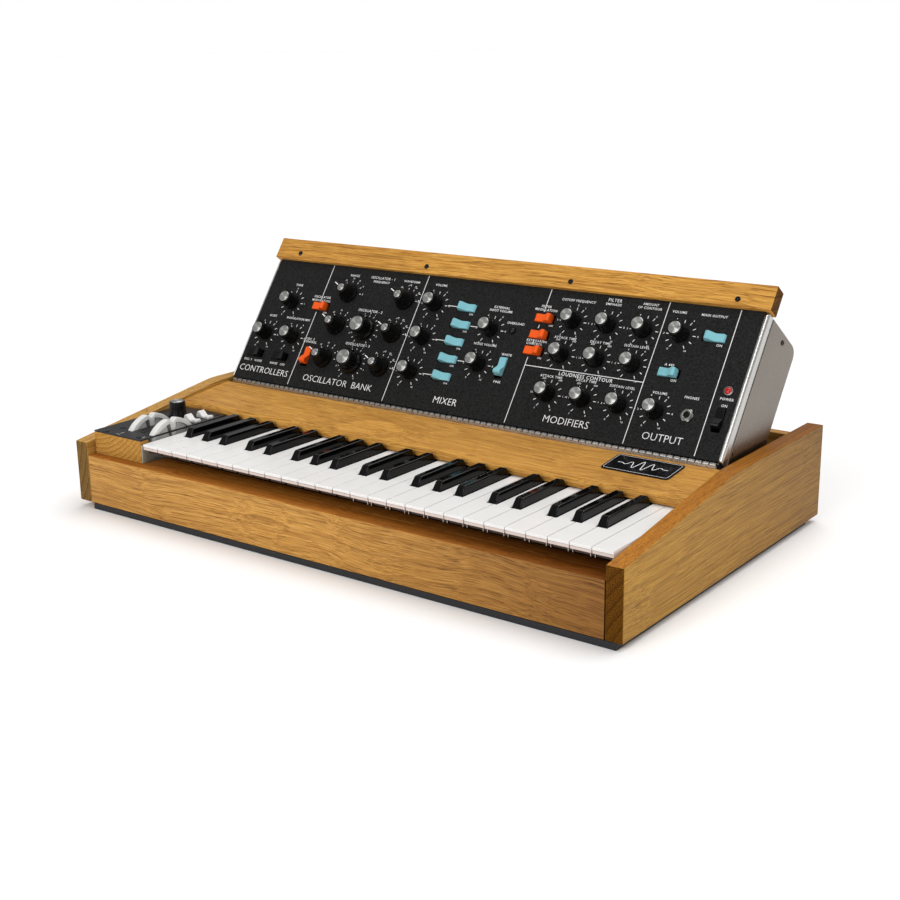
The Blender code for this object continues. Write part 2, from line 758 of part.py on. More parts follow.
def make_panel_knobs(frame):
    for name, (x, u) in SELECTORS.items():
        hang(make_selector("knob_" + name, on_panel(x, u)), frame)
    for name, (x, u) in LARGE_KNOBS.items():
        hang(make_knob("knob_" + name, KNOB_BLACK, on_panel(x, u), LARGE_KNOB), frame)
    for name, (x, u, clock) in SMALL_KNOBS.items():
        place = on_panel(x, u) @ Matrix.Rotation(-math.radians(clock), 4, "Z")
        hang(make_knob("knob_" + name, KNOB_BLACK, place, SMALL_KNOB), frame)


def make_rate_knob():
    place = Matrix.Translation((RATE_KNOB[0], back(RATE_KNOB[1]), PLATE_TOP))
    make_knob("rate_knob", KNOB_BLACK, place, SMALL_KNOB)


# ---- panel ----


def make_panel_face(frame):
    bm = bmesh.new()
    add_box(bm, (-FACE_HALF, GAP, -FACE_THICK), (FACE_HALF, FACE_TOP, 0))
    face = object_of("panel_face", bm, PANEL_BLACK, panel_matrix())
    openings = bmesh.new()
    bottom, top = -FACE_THICK - 0.001, 0.001
    knobs = [place[:2] for place in (*SELECTORS.values(), *LARGE_KNOBS.values(), *SMALL_KNOBS.values())]
    for place in knobs:
        add_prism(openings, circle(place, HOLE_RADIUS, 8), bottom, top, "Z")
    windows = [(x, u, True) for x, rows in ROCKERS_ACROSS.values() for u in rows]
    windows += [(x, u, False) for x, u in ROCKERS_UPRIGHT.values()]
    for x, u, across in windows:
        half_x, half_u = (WINDOW_HALF, WINDOW_HALF_WIDTH) if across else (WINDOW_HALF_WIDTH, WINDOW_HALF)
        add_box(openings, (x - half_x, u - half_u, bottom), (x + half_x, u + half_u, top))
    cut(face, object_of("face_openings", openings, place=panel_matrix()))
    hang(face, frame)


def housing_outline(inset):
    """The housing seen from its side, as (u, h), with one rounded corner at the top of its back."""
    radius = HOUSING_CORNER - inset
    top = HOUSING_HEIGHT - inset
    rear = -HOUSING_DEPTH + inset
    corner = arc((top - radius, rear + radius), radius, -90, 0, 4)
    return [(inset, 0.0), (inset, rear), *corner, (top, 0.0)]


def make_panel_housing(frame):
    """A folded sheet box, open at the front, with a flange that the wooden rail is screwed to."""
    bm = bmesh.new()
    add_prism(bm, housing_outline(0.0), -HOUSING_HALF, HOUSING_HALF)
    front_edges = [
        edge
        for edge in bm.edges
        if all(abs(v.co.z) < 1e-6 and abs(v.co.x) > HOUSING_HALF - 1e-6 for v in edge.verts)
    ]
    bmesh.ops.bevel(bm, geom=front_edges, offset=EDGE_RADIUS, segments=4, profile=0.5, affect="EDGES")
    housing = object_of("panel_housing", bm, HOUSING_GREY, panel_matrix())
    hollow = bmesh.new()
    inner = HOUSING_HALF - SHEET
    outline = [(u, min(h, -EDGE_RADIUS)) for u, h in housing_outline(SHEET)]
    add_prism(hollow, outline, -inner, inner)
    cut(housing, object_of("housing_hollow", hollow, place=panel_matrix()))
    mouth = bmesh.new()
    half = FACE_HALF + GAP
    add_box(mouth, (-half, SHEET, -EDGE_RADIUS - 0.001), (half, HOUSING_HEIGHT - SHEET, 0.001))
    cut(housing, object_of("housing_mouth", mouth, place=panel_matrix()))
    recess = bmesh.new()
    add_box(recess, (-half, -0.001, -FACE_THICK - GAP), (half, HOUSING_HEIGHT + 0.001, 0.001))
    cut(housing, object_of("housing_face_recess", recess, place=panel_matrix()))
    flange = bmesh.new()
    low = (-HOUSING_HALF + 0.002, HOUSING_HEIGHT - 0.001, -FLANGE_DEPTH - SHEET)
    high = (HOUSING_HALF - 0.002, FLANGE_TOP, -FLANGE_DEPTH)
    add_box(flange, low, high)
    join(housing, object_of("housing_flange", flange, place=panel_matrix()))
    hang(housing, frame)


def make_panel_top_rail(frame):
    bm = bmesh.new()
    add_box(bm, (-RAIL_HALF, TOP_RAIL[0], -TOP_RAIL_BACK), (RAIL_HALF, TOP_RAIL[1], TOP_RAIL_PROUD))
    hang(object_of("panel_top_rail", bm, OAK, panel_matrix()), frame)


def make_circuit_board(frame):
    """The main board, on four posts from the back of the housing."""
    board = 0.0016
    face = -0.064
    bm = bmesh.new()
    add_box(bm, (-0.300, 0.015, face - board), (0.300, 0.150, face))
    circuit = object_of("circuit_board", bm, CIRCUIT_GREEN, panel_matrix())
    posts = bmesh.new()
    rear = -HOUSING_DEPTH + SHEET + GAP
    for x in (-0.290, 0.290):
        for u in (0.025, 0.140):
            add_box(posts, (x - 0.003, u - 0.003, rear), (x + 0.003, u + 0.003, face - board / 2))
    join(circuit, object_of("board_posts", posts, place=panel_matrix()))
    hang(circuit, frame)


def make_hinge(frame):
    """A piano hinge: two leaves with alternate knuckles, and a pin held by the cabinet's knuckles."""
    knuckles = 9
    barrel_radius = 0.0023
    pin_radius = 0.0010
    length = 2 * FACE_HALF
    pitch = length / knuckles
    axis = (back(HINGE[0]), HINGE[1])
    spans = [(-length / 2 + i * pitch + GAP, -length / 2 + (i + 1) * pitch - GAP) for i in range(knuckles)]

    bm = bmesh.new()
    leaf_front = back(HINGE[0]) - barrel_radius
    add_box(bm, (-length / 2, leaf_front, 0.092), (length / 2, leaf_front + 0.001, HINGE[1]))
    fixed = object_of("hinge_cabinet_leaf", bm, HINGE_STEEL)
    clear = bmesh.new()
    for start, end in spans[1::2]:
        add_box(clear, (start - 2 * GAP, leaf_front - 0.001, HINGE[1] - 0.004), (end + 2 * GAP, leaf_front + 0.004, HINGE[1] + 0.004))
    cut(fixed, object_of("cabinet_leaf_gaps", clear))
    barrels = bmesh.new()
    for start, end in spans[0::2]:
        add_prism(barrels, circle(axis, barrel_radius, 8), start, end)
    join(fixed, object_of("cabinet_knuckles", barrels))
    pin = bmesh.new()
    add_prism(pin, circle(axis, pin_radius, 8), spans[0][0] + 0.001, spans[-1][1] - 0.001)
    join(fixed, object_of("hinge_pin", pin))

    centre = (HINGE_U, HINGE_H)
    bm = bmesh.new()
    add_box(bm, (-length / 2, -0.0013, -0.020), (length / 2, -GAP, HINGE_H))
    moving = object_of("hinge_panel_leaf", bm, HINGE_STEEL, panel_matrix())
    clear = bmesh.new()
    for start, end in spans[0::2]:
        add_box(clear, (start - 2 * GAP, -0.006, -0.0060), (end + 2 * GAP, 0.001, 0.002))
    cut(moving, object_of("panel_leaf_gaps", clear, place=panel_matrix()))
    barrels = bmesh.new()
    bores = bmesh.new()
    for start, end in spans[1::2]:
        add_prism(barrels, circle(centre, barrel_radius, 8), start, end)
        add_prism(bores, circle(centre, pin_radius + GAP, 8), start - 0.001, end + 0.001)
    join(moving, object_of("panel_knuckles", barrels, place=panel_matrix()))
    cut(moving, object_of("panel_knuckle_bores", bores, place=panel_matrix()))
    hang(moving, frame)


def make_prop():
    """A flap that swings up from the cabinet floor and stands under the panel's lower rear corner."""
    reach = PROP_LENGTH + PROP_HALF_THICK
    half = PROP_HALF_THICK
    chamfer = 0.0012
    outline = [
        (-half + chamfer, -half),
        (reach - chamfer, -half),
        (reach, -half + chamfer),
        (reach, half - chamfer),
        (reach - chamfer, half),
        (-half + chamfer, half),
        (-half, half - chamfer),
        (-half, -half + chamfer),
    ]
    place = Matrix.Translation((0, back(PROP_PIVOT[0]), PROP_PIVOT[1])) @ Matrix.Rotation(PROP_ANGLE, 4, "X")
    bm = bmesh.new()
    add_prism(bm, outline, -PROP_HALF, PROP_HALF)
    prop = object_of("prop_stand", bm, BLACK_METAL, place)
    pin = bmesh.new()
    add_prism(pin, circle((0, 0), 0.002, 8), -PROP_HALF - 0.010, PROP_HALF + 0.010)
    join(prop, object_of("prop_pin", pin, place=place))


def main():
    clear_scene()
    make_base_plate()
    make_cheeks()
    make_front_rail()
    make_key_deck()
    make_rear_board()
    make_keyboard_frame()
    make_white_keys()
    make_black_keys()
    make_wheel_plate()
    make_wheels()
    make_rate_knob()
    make_side_rockers()
    hinge_axis = Matrix.Translation((0, back(HINGE[0]), HINGE[1]))
    frame = empty("panel_hinge_axis", hinge_axis)
    make_panel_face(frame)
    make_panel_housing(frame)
    make_panel_top_rail(frame)
    make_circuit_board(frame)
    make_hinge(frame)
    make_panel_knobs(frame)
    make_panel_rockers(frame)
    make_prop()


main()
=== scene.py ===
"""The looks of the analogue synthesizer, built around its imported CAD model.

Metres, in the CAD model's frame: +X is the player's right, +Y the rear, +Z up.
"""

import json
import math

import bmesh
import bpy
from mathutils import Matrix, Vector

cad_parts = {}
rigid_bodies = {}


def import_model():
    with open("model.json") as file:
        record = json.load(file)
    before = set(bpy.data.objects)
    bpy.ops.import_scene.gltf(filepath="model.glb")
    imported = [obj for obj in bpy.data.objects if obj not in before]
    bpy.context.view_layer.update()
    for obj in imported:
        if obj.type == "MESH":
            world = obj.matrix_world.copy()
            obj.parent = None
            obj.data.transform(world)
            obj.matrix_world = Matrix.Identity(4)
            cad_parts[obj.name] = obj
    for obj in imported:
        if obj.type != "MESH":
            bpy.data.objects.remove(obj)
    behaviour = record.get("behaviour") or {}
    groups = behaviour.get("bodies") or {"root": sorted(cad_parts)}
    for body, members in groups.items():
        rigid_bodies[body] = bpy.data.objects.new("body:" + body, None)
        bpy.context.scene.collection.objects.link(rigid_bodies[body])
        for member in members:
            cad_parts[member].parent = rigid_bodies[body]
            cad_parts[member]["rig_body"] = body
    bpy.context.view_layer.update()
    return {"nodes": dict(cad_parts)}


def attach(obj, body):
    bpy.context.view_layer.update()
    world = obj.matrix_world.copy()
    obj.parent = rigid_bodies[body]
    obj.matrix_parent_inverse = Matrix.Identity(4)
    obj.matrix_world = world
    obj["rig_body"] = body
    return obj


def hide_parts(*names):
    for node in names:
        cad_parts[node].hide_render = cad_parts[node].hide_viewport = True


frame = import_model()

# ---- dimensions, as in the CAD model ----

FRONT = -0.2154
INNER = 0.3452  # half the width between the cheeks
LEDGE_TOP = 0.0640
LEDGE_DEPTH = 0.045
RAIL_THICK = 0.020
LEDGE_UNDERSIDE = 0.0520
WOOD_BOTTOM = 0.0074
RAIL_END_GAP = 0.0006
BLOCK_FRONT = 0.0123
BLOCK_REAR = 0.0245
BLOCK_TOP = 0.0898
SLIT = 0.0001  # between pieces that lie on one another

DECK_ROUND_END = (0.1555, 0.0985)  # distance behind the front, height
DECK_REAR_TOP = (0.2290, 0.1065)

KEY_START = -0.2653
KEY_PITCH = 0.0235
WHITE_COUNT = 26
KEY_FRONT = 0.0144
KEY_BOTTOM = 0.0802
KEY_TOP = 0.0865
KEY_GAP = 0.00045
KEY_REAR = 0.208
KEY_GROOVE = 0.0832  # the middle of the fine groove above the lower lip
KEY_LIP_REAR = 0.0600
LEVER_FRONT = 0.0215
LEVER_BOTTOM = 0.0752
LEVER_FOOT_FRONT = 0.0470
LEVER_FOOT_BOTTOM = 0.0668
PIN_FROM_FRONT = 0.0168
PIN_RADIUS = 0.00032
PIN_LENGTH = 0.0042
BLACK_FRONT = 0.0640
BLACK_END = 0.1465
BLACK_WIDTH = 0.0112
BLACK_TOP_WIDTH = 0.0086
BLACK_TOP = 0.0960
BLACK_CLEARANCE = 0.0007

PLATE_FRONT = 0.0126
PLATE_REAR = 0.1465
PLATE_RIGHT = -0.2663
PLATE_TOP = 0.0914
WHEEL_RADIUS = 0.038
WHEEL_THICK = 0.009
WHEEL_CENTRE = (0.0645, 0.0674)
WHEEL_BORE = 0.0033
WHEEL_RIM_START = 0.030
WHEEL_NOTCH_DEPTH = 0.0042
WHEEL_POCKET_DEPTH = 0.0027
WHEEL_STEPS = 160
PITCH_WHEEL_X = -0.3085
MOD_WHEEL_X = -0.2729
RATE_KNOB = (-0.3078, 0.1084)
SIDE_ROCKER_X = -0.2820
SIDE_ROCKERS_BACK = (0.1058, 0.1262)
SIDE_ROCKER_HALF = 0.0105

TILT = math.radians(54.2)
HINGE = (0.2316, 0.1096)
HINGE_U = -0.00266
HINGE_H = -0.00229
KNUCKLES = 84
KNUCKLE_GAP = 0.0010
KNUCKLE_RADIUS = 0.0023
FACE_HALF = 0.3359
FACE_TOP = 0.1672
HOUSING_HALF = 0.3402
HOUSING_HEIGHT = 0.1665
HOUSING_DEPTH = 0.0880
HOUSING_CORNER = 0.012
FLANGE_DEPTH = 0.0128
SIDE_PLATE_THICK = 0.0007
SIDE_SCREWS = (  # u, depth, radius
    (0.1566, 0.050, 0.0030),
    (0.0164, 0.0167, 0.0016),
    (0.0164, 0.070, 0.0030),
)
RAIL_SCREWS_X = (-0.3037, -0.1010, 0.1010, 0.3037)
TOP_RAIL_PROUD = 0.0048

ROW_TOP = 0.1308
ROW_MIDDLE = 0.0868
ROW_LOW = 0.0424
RANGE_X = -0.2052
FREQUENCY_X = -0.1603
WAVEFORM_X = -0.1170
MIXER_KNOB_X = -0.0715
SOURCE_KNOB_X = 0.0170
FILTER_X = (0.1186, 0.1630, 0.2072)
FILTER_ROW = 0.0895
OUTPUT_X = 0.2512
SELECTOR_REST = math.radians(64)
POINTER_REACH = 0.0152

ROCKER_HALF = 0.0122
ROCKER_HALF_WIDTH = 0.0046
ROCKER_PIVOT = -0.003
ROCKER_TILT = math.radians(18)

JACK = (0.2882, 0.0432)
POWER_LAMP = (0.3237, 0.0762)
OVERLOAD_LAMP = (0.0462, 0.1105)
NAMEPLATE = (0.2297, 0.3070, 0.1825, 0.2222)  # left, right, front and rear edge

# ---- mesh helpers ----


def back(distance):
    """The Y of a point that lies this far behind the front of the cabinet."""
    return FRONT + distance


def panel_matrix():
    """From panel coordinates to the world at rest: x, u up the panel's face and h out of it."""
    hinge = Matrix.Translation((0, back(HINGE[0]), HINGE[1]))
    return hinge @ Matrix.Rotation(TILT, 4, "X") @ Matrix.Translation((0, -HINGE_U, -HINGE_H))


PANEL = panel_matrix()


def on_panel(x=0.0, u=0.0, h=0.0):
    return PANEL @ Matrix.Translation((x, u, h))


def circle(centre, radius, sides):
    turns = [(i + 0.5) * math.tau / sides for i in range(sides)]
    return [(centre[0] + radius * math.cos(t), centre[1] + radius * math.sin(t)) for t in turns]


def arc(centre, radius, start, end, steps):
    turns = [math.radians(start + (end - start) * i / steps) for i in range(steps + 1)]
    return [(centre[0] + radius * math.cos(t), centre[1] + radius * math.sin(t)) for t in turns]


def rounded_rectangle(x0, y0, x1, y1, radius, steps=4):
    outline = arc((x1 - radius, y0 + radius), radius, -90, 0, steps)
    outline += arc((x1 - radius, y1 - radius), radius, 0, 90, steps)
    outline += arc((x0 + radius, y1 - radius), radius, 90, 180, steps)
    outline += arc((x0 + radius, y0 + radius), radius, 180, 270, steps)
    return outline


def add_box(bm, low, high):
    corners = [(x, y, z) for x in (low[0], high[0]) for y in (low[1], high[1]) for z in (low[2], high[2])]
    verts = [bm.verts.new(corner) for corner in corners]
    rings = ((0, 1, 3, 2), (4, 6, 7, 5), (0, 4, 5, 1), (2, 3, 7, 6), (0, 2, 6, 4), (1, 5, 7, 3))
    return [bm.faces.new([verts[i] for i in ring]) for ring in rings]


def add_loft(bm, rings):
    """Joins rings of points, each with the same number of them, and closes both ends."""
    loops = [[bm.verts.new(point) for point in ring] for ring in rings]
    faces = [bm.faces.new(loops[0]), bm.faces.new(loops[-1])]
    for low, high in zip(loops, loops[1:]):
        for i in range(len(low)):
            j = (i + 1) % len(low)
            faces.append(bm.faces.new((low[i], low[j], high[j], high[i])))
    return faces


def add_prism(bm, outline, start, end, axis="X"):
    """Extrudes a closed outline along an axis. The outline lies in the other two axes, in order."""
    places = {
        "X": lambda a, b, along: (along, a, b),
        "Y": lambda a, b, along: (a, along, b),
        "Z": lambda a, b, along: (a, b, along),
    }
    place = places[axis]
    return add_loft(bm, [[place(a, b, along) for a, b in outline] for along in (start, end)])


def add_lathe(bm, profile, sides, shape=None):
    """Turns a profile of (radius, height) about Z. shape(angle, radius, height) may change a radius."""
    rings = []
    for radius, height in profile:
        if radius == 0:
            rings.append([bm.verts.new((0, 0, height))])
            continue
        ring = []
        for i in range(sides):
            angle = i * math.tau / sides
            r = shape(angle, radius, height) if shape else radius
            ring.append(bm.verts.new((r * math.cos(angle), r * math.sin(angle), height)))
        rings.append(ring)
    faces = []
    for low, high in zip(rings, rings[1:]):
        for i in range(sides):
            j = (i + 1) % sides
            corners = [low[i % len(low)], low[j % len(low)], high[j % len(high)], high[i % len(high)]]
            faces.append(bm.faces.new(list(dict.fromkeys(corners))))
    return faces


def moved(bm, geometry_start, matrix):
    """Moves every vertex made since there were geometry_start of them."""
    bm.verts.ensure_lookup_table()
    bmesh.ops.transform(bm, matrix=matrix, verts=bm.verts[geometry_start:])


def paint(faces, index):
    for face in faces:
        face.material_index = index


def piece(name, bm, body, looks, place=None, slot=None, bevel=0.0, segments=2, stands_for=(), sharp=32):
    """Makes one visible piece from a bmesh. looks is a material, or several for a mesh with slots."""
    bmesh.ops.recalc_face_normals(bm, faces=bm.faces)
    mesh = bpy.data.meshes.new(name)
    bm.to_mesh(mesh)
    bm.free()
    for look in looks if isinstance(looks, (list, tuple)) else [looks]:
        mesh.materials.append(look)
    mesh.shade_smooth()
    mesh.set_sharp_from_angle(angle=math.radians(sharp))
    obj = bpy.data.objects.new(name, mesh)
    bpy.context.scene.collection.objects.link(obj)
    if place is not None:
        obj.matrix_world = place
    if bevel:
        round_edges(obj, bevel, segments)
    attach(obj, body)
    for node in stands_for:
        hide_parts(node)
    return obj


def round_edges(obj, width, segments):
    modifier = obj.modifiers.new("round", "BEVEL")
    modifier.width = width
    modifier.segments = segments
    modifier.limit_method = "ANGLE"
    modifier.angle_limit = math.radians(40)
    modifier.harden_normals = True


def box_piece(name, low, high, body, look, **options):
    bm = bmesh.new()
    add_box(bm, low, high)
    return piece(name, bm, body, look, **options)


def lathe_piece(name, profile, sides, look, place, shape=None, **options):
    """A turned piece that rides on the panel."""
    bm = bmesh.new()
    add_lathe(bm, profile, sides, shape)
    bmesh.ops.remove_doubles(bm, verts=bm.verts, dist=1e-6)
    return piece(name, bm, "panel", look, place, **options)


def refined(node, look, slot, bevel=0.0, segments=2):
    """A copy of a CAD node with clean flat faces, smooth rounds and softened edges."""
    source = frame["nodes"][node]
    bm = bmesh.new()
    bm.from_mesh(source.data)
    bmesh.ops.remove_doubles(bm, verts=bm.verts, dist=1e-6)
    bmesh.ops.dissolve_limit(bm, angle_limit=math.radians(0.5), verts=bm.verts, edges=bm.edges)
    name = node + "_finished"
    looks = {"slot": slot, "bevel": bevel, "segments": segments}
    return piece(name, bm, source["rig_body"], look, stands_for=[node], **looks)


# ---- materials ----


class Nodes:
    """A material's node tree, with short calls for the nodes used here."""

    def __init__(self, name):
        self.material = bpy.data.materials.new(name)
        self.material.use_nodes = True
        self.tree = self.material.node_tree
        self.shader = self.tree.nodes.get("Principled BSDF")

    def feed(self, socket, value):
        """Links another node's output to a socket, or sets the socket to a number, place or colour."""
        if isinstance(value, bpy.types.NodeSocket):
            self.tree.links.new(value, socket)
        elif socket.type == "RGBA":
            socket.default_value = (*value, 1.0)
        else:
            socket.default_value = value

    def node(self, kind, inputs, output, **settings):
        """Makes a node with these settings and inputs, and gives the output that is asked for."""
        made = self.tree.nodes.new(kind)
        for key, value in settings.items():
            setattr(made, key, value)
        for key, value in inputs.items():
            self.feed(made.inputs[key], value)
        return made.outputs[output]

    def place(self, kind):
        """Object coordinates or the surface's own normal, by the name of the output."""
        return self.node("ShaderNodeTexCoord", {}, kind)

    def coords(self, scale=(1, 1, 1), turn=0.0, shift=(0, 0, 0)):
        place = self.place("Object")
        inputs = {"Location": shift, "Rotation": (0, 0, turn), "Scale": scale, "Vector": place}
        return self.node("ShaderNodeMapping", inputs, "Vector")

    def scaled(self, vector, scale):
        return self.node("ShaderNodeMapping", {"Vector": vector, "Scale": scale}, "Vector")

    def swayed(self, vector, scale, reach):
        """Moves each place a little by a noise of its own."""
        inputs = {"Vector": vector, "Scale": scale, "Detail": 1.0}
        noise = self.node("ShaderNodeTexNoise", inputs, "Color")
        offset = self.node("ShaderNodeVectorMath", {0: noise, "Scale": reach}, "Vector", operation="SCALE")
        return self.node("ShaderNodeVectorMath", {0: vector, 1: offset}, "Vector", operation="ADD")

    def part(self, vector, axis):
        return self.node("ShaderNodeSeparateXYZ", {"Vector": vector}, axis)

    def noise(self, vector, scale=1.0, detail=3.0, rough=0.5):
        inputs = {"Vector": vector, "Scale": scale, "Detail": detail, "Roughness": rough}
        return self.node("ShaderNodeTexNoise", inputs, "Fac")

    def ramp(self, value, stops):
        made = self.tree.nodes.new("ShaderNodeValToRGB")
        elements = made.color_ramp.elements
        while len(elements) < len(stops):
            elements.new(0.5)
        for element, (position, colour) in zip(elements, stops):
            element.position = position
            element.color = (*colour, 1.0)
        self.feed(made.inputs["Fac"], value)
        return made.outputs["Color"]

    def mix(self, kind, amount, first, second):
        inputs = {0: amount, 6: first, 7: second}
        return self.node("ShaderNodeMix", inputs, 2, data_type="RGBA", blend_type=kind)

    def remap(self, value, low, high, new_low, new_high):
        inputs = {"Value": value, "From Min": low, "From Max": high, "To Min": new_low, "To Max": new_high}
        return self.node("ShaderNodeMapRange", inputs, "Result")

    def bump(self, height, distance, strength, under=None):
        """Adds relief to the shader, over an earlier relief if one is given."""
        inputs = {"Strength": strength, "Distance": distance, "Height": height}
        if under:
            inputs["Normal"] = under
        relief = self.node("ShaderNodeBump", inputs, "Normal")
        self.feed(self.shader.inputs["Normal"], relief)
        return relief

    def set(self, **values):
        names = {
            "colour": "Base Color",
            "rough": "Roughness",
            "metallic": "Metallic",
            "specular": "Specular IOR Level",
            "anisotropic": "Anisotropic",
            "anisotropic_turn": "Anisotropic Rotation",
            "tangent": "Tangent",
            "emission": "Emission Color",
            "emission_strength": "Emission Strength",
        }
        for key, value in values.items():
            self.feed(self.shader.inputs[names[key]], value)


# dark, middle and light
OAK_TONES = ((0.25, 0.100, 0.013), (0.47, 0.228, 0.044), (0.62, 0.345, 0.092))
END_TONES = ((0.032, 0.010, 0.0005), (0.108, 0.039, 0.002), (0.20, 0.086, 0.010))
LEFT_END_TONES = ((0.075, 0.036, 0.008), (0.19, 0.105, 0.030), (0.29, 0.175, 0.055))
BLOCK_END_TONES = ((0.30, 0.130, 0.022), (0.48, 0.245, 0.052), (0.60, 0.340, 0.095))
WARM = (1.0, 1.0, 1.0)
BRIGHT = (1.12, 1.11, 1.0)
PALE = (1.04, 1.14, 1.30)
OLIVE = (0.84, 0.86, 0.46)
# Painted light: an orange tint for the right cheek's top faces.
ORANGE_TOP_LIGHT = (0.95, 0.70, 0.34)
# Painted shade: a darker, redder tint for the front rail's ledge, which lies under the keys.
RED_LEDGE_SHADE = (0.80, 0.56, 0.34)
# Painted shade: darkening towards the front rail's right end and the right cheek's rear.
SHADED = (0.36, 0.27, 0.18)
SHADED_REAR = (0.60, 0.55, 0.42)


def grain_colour(n, straight, bent, rings, fibres, pores, fine):
    """A board's long sides: fibres, darker bands, growth rings, slow clouds and open pores."""
    bands = n.noise(n.scaled(bent, (9 / fine, 300 * fine, 300 * fine)), detail=2.0, rough=0.6)
    clouds = n.noise(n.scaled(straight, (2.5, 11, 11)), detail=2.0)
    layers = (
        (bands, 0.8, [(0.32, (0.70, 0.63, 0.52)), (0.48, (1.0, 1.0, 1.0)), (0.68, (1.14, 1.15, 1.18))]),
        (rings, 0.7, [(0.0, (0.78, 0.73, 0.66)), (0.3, (0.98, 0.98, 0.97)), (1.0, (1.07, 1.07, 1.07))]),
        (clouds, 0.8, [(0.3, (0.86, 0.83, 0.78)), (0.7, (1.10, 1.10, 1.08))]),
        (pores, 0.75, [(0.36, (0.42, 0.33, 0.24)), (0.43, (1.0, 1.0, 1.0))]),
    )
    dark, middle, light = OAK_TONES
    colour = n.ramp(fibres, [(0.30, dark), (0.47, middle), (0.68, light)])
    for pattern, amount, stops in layers:
        colour = n.mix("MULTIPLY", amount, colour, n.ramp(pattern, stops))
    return colour


def end_grain_colour(n, straight, rings, tones):
    """A sawn end: fine specks, with the growth rings cut across."""
    specks = n.noise(n.scaled(straight, (200, 1100, 1100)), detail=3.0, rough=0.6)
    dark, middle, light = tones
    base = n.ramp(specks, [(0.36, dark), (0.52, middle), (0.72, light)])
    shade = [(0.0, (0.55, 0.50, 0.44)), (0.3, (0.92, 0.92, 0.92)), (1.0, (1.12, 1.12, 1.12))]
    return n.mix("MULTIPLY", 0.9, base, n.ramp(rings, shade))


def end_share(n, turn):
    """1 where a face looks along the grain and so shows a sawn end, 0 on the long sides."""
    grain = (math.cos(turn), -math.sin(turn), 0)
    inputs = {0: n.place("Normal"), 1: grain}
    facing = n.node("ShaderNodeVectorMath", inputs, "Value", operation="DOT_PRODUCT")
    size = n.node("ShaderNodeMath", {0: facing}, "Value", operation="ABSOLUTE")
    return n.remap(size, 0.6, 0.9, 0.0, 1.0)


def oak(
    name,
    shift,
    turn=0.0,
    rings=30.0,
    sway=1.0,
    fine=1.0,
    tint=WARM,
    top_painted_light=WARM,
    end_tones=END_TONES,
    fade=None,
):
    """Oiled oak whose grain runs along local X after the turn about Z.

    rings sets how close the growth rings lie, sway how far the fibres wander, and fine above 1 makes
    the lines narrower and longer. The top tint colours what faces up, as painted light or shade on the
    top faces. fade is (axis, start, end, tone): the board darkens along that axis, between the two places,
    as painted shade.
    """
    n = Nodes(name)
    straight = n.coords(turn=turn, shift=shift)
    bent = n.swayed(n.swayed(straight, 6.0, 0.020 * sway), 30.0, 0.0014 * sway)
    inputs = {"Scale": rings, "Distortion": 1.2, "Detail": 1.0, "Vector": n.scaled(bent, (0.16, 1.0, 1.0))}
    kind = {"wave_type": "RINGS", "rings_direction": "X", "wave_profile": "SAW"}
    growth = n.node("ShaderNodeTexWave", inputs, "Fac", **kind)
    fibres = n.noise(n.scaled(bent, (26 / fine, 900 * fine, 900 * fine)), detail=4.0, rough=0.7)
    pores = n.noise(n.scaled(bent, (36 / fine, 700 * fine, 700 * fine)), detail=2.0, rough=0.6)

    along = n.mix("MULTIPLY", 1.0, grain_colour(n, straight, bent, growth, fibres, pores, fine), tint)
    across = end_grain_colour(n, straight, growth, end_tones)
    sawn = end_share(n, turn)
    # Painted light and shade: what faces up takes the top tint, and a fade darkens the board along one
    # axis.
    upward = n.remap(n.part(n.place("Normal"), "Z"), 0.7, 0.95, 0.0, 1.0)
    colour = n.mix("MULTIPLY", upward, n.mix("MIX", sawn, along, across), top_painted_light)
    if fade:
        axis, start, end, tone = fade
        share = n.remap(n.part(n.place("Object"), axis), start, end, 0.0, 1.0)
        colour = n.mix("MULTIPLY", share, colour, tone)
    rough = n.remap(fibres, 0.2, 0.8, 0.56, 0.42)
    n.set(colour=colour, rough=rough, specular=n.remap(sawn, 0.0, 1.0, 0.20, 0.03))
    relief = n.bump(pores, 0.00022, 0.5)
    n.bump(fibres, 0.00025, 0.35, under=relief)
    return n.material


def moulding(name, colour, rough=0.3, spread=0.06, relief=0.00004, specular=0.45):
    """Moulded plastic: a small, slow change of tone and a fine skin texture."""
    n = Nodes(name)
    tone = n.noise(n.coords(), scale=60.0, detail=2.0)
    darker = tuple(c * (1 - spread) for c in colour)
    lighter = tuple(min(1.0, c * (1 + spread)) for c in colour)
    grain = n.noise(n.coords(), scale=2600.0, detail=2.0)
    n.set(
        colour=n.ramp(tone, [(0.3, darker), (0.7, lighter)]),
        rough=n.remap(grain, 0.3, 0.7, rough * 0.85, rough * 1.2),
        specular=specular,
    )
    n.bump(grain, relief, 0.4)
    return n.material


def metal(name, colour, rough, streak=(1, 1, 1), scale=900.0, spread=0.12, relief=0.00002, metallic=1.0):
    """Metal with fine marks. streak stretches them, for a brushed finish."""
    n = Nodes(name)
    marks = n.noise(n.coords(scale=streak), scale=scale, detail=3.0, rough=0.6)
    slow = n.noise(n.coords(), scale=18.0, detail=2.0)
    darker = tuple(c * (1 - spread) for c in colour)
    tone = n.ramp(marks, [(0.3, darker), (0.7, colour)])
    patina = n.ramp(slow, [(0.3, (0.92, 0.92, 0.92)), (0.7, (1.0, 1.0, 1.0))])
    n.set(
        colour=n.mix("MULTIPLY", 1.0, tone, patina),
        rough=n.remap(marks, 0.3, 0.7, rough * 0.85, rough * 1.2),
        metallic=metallic,
    )
    n.bump(marks, relief, 0.5)
    return n.material


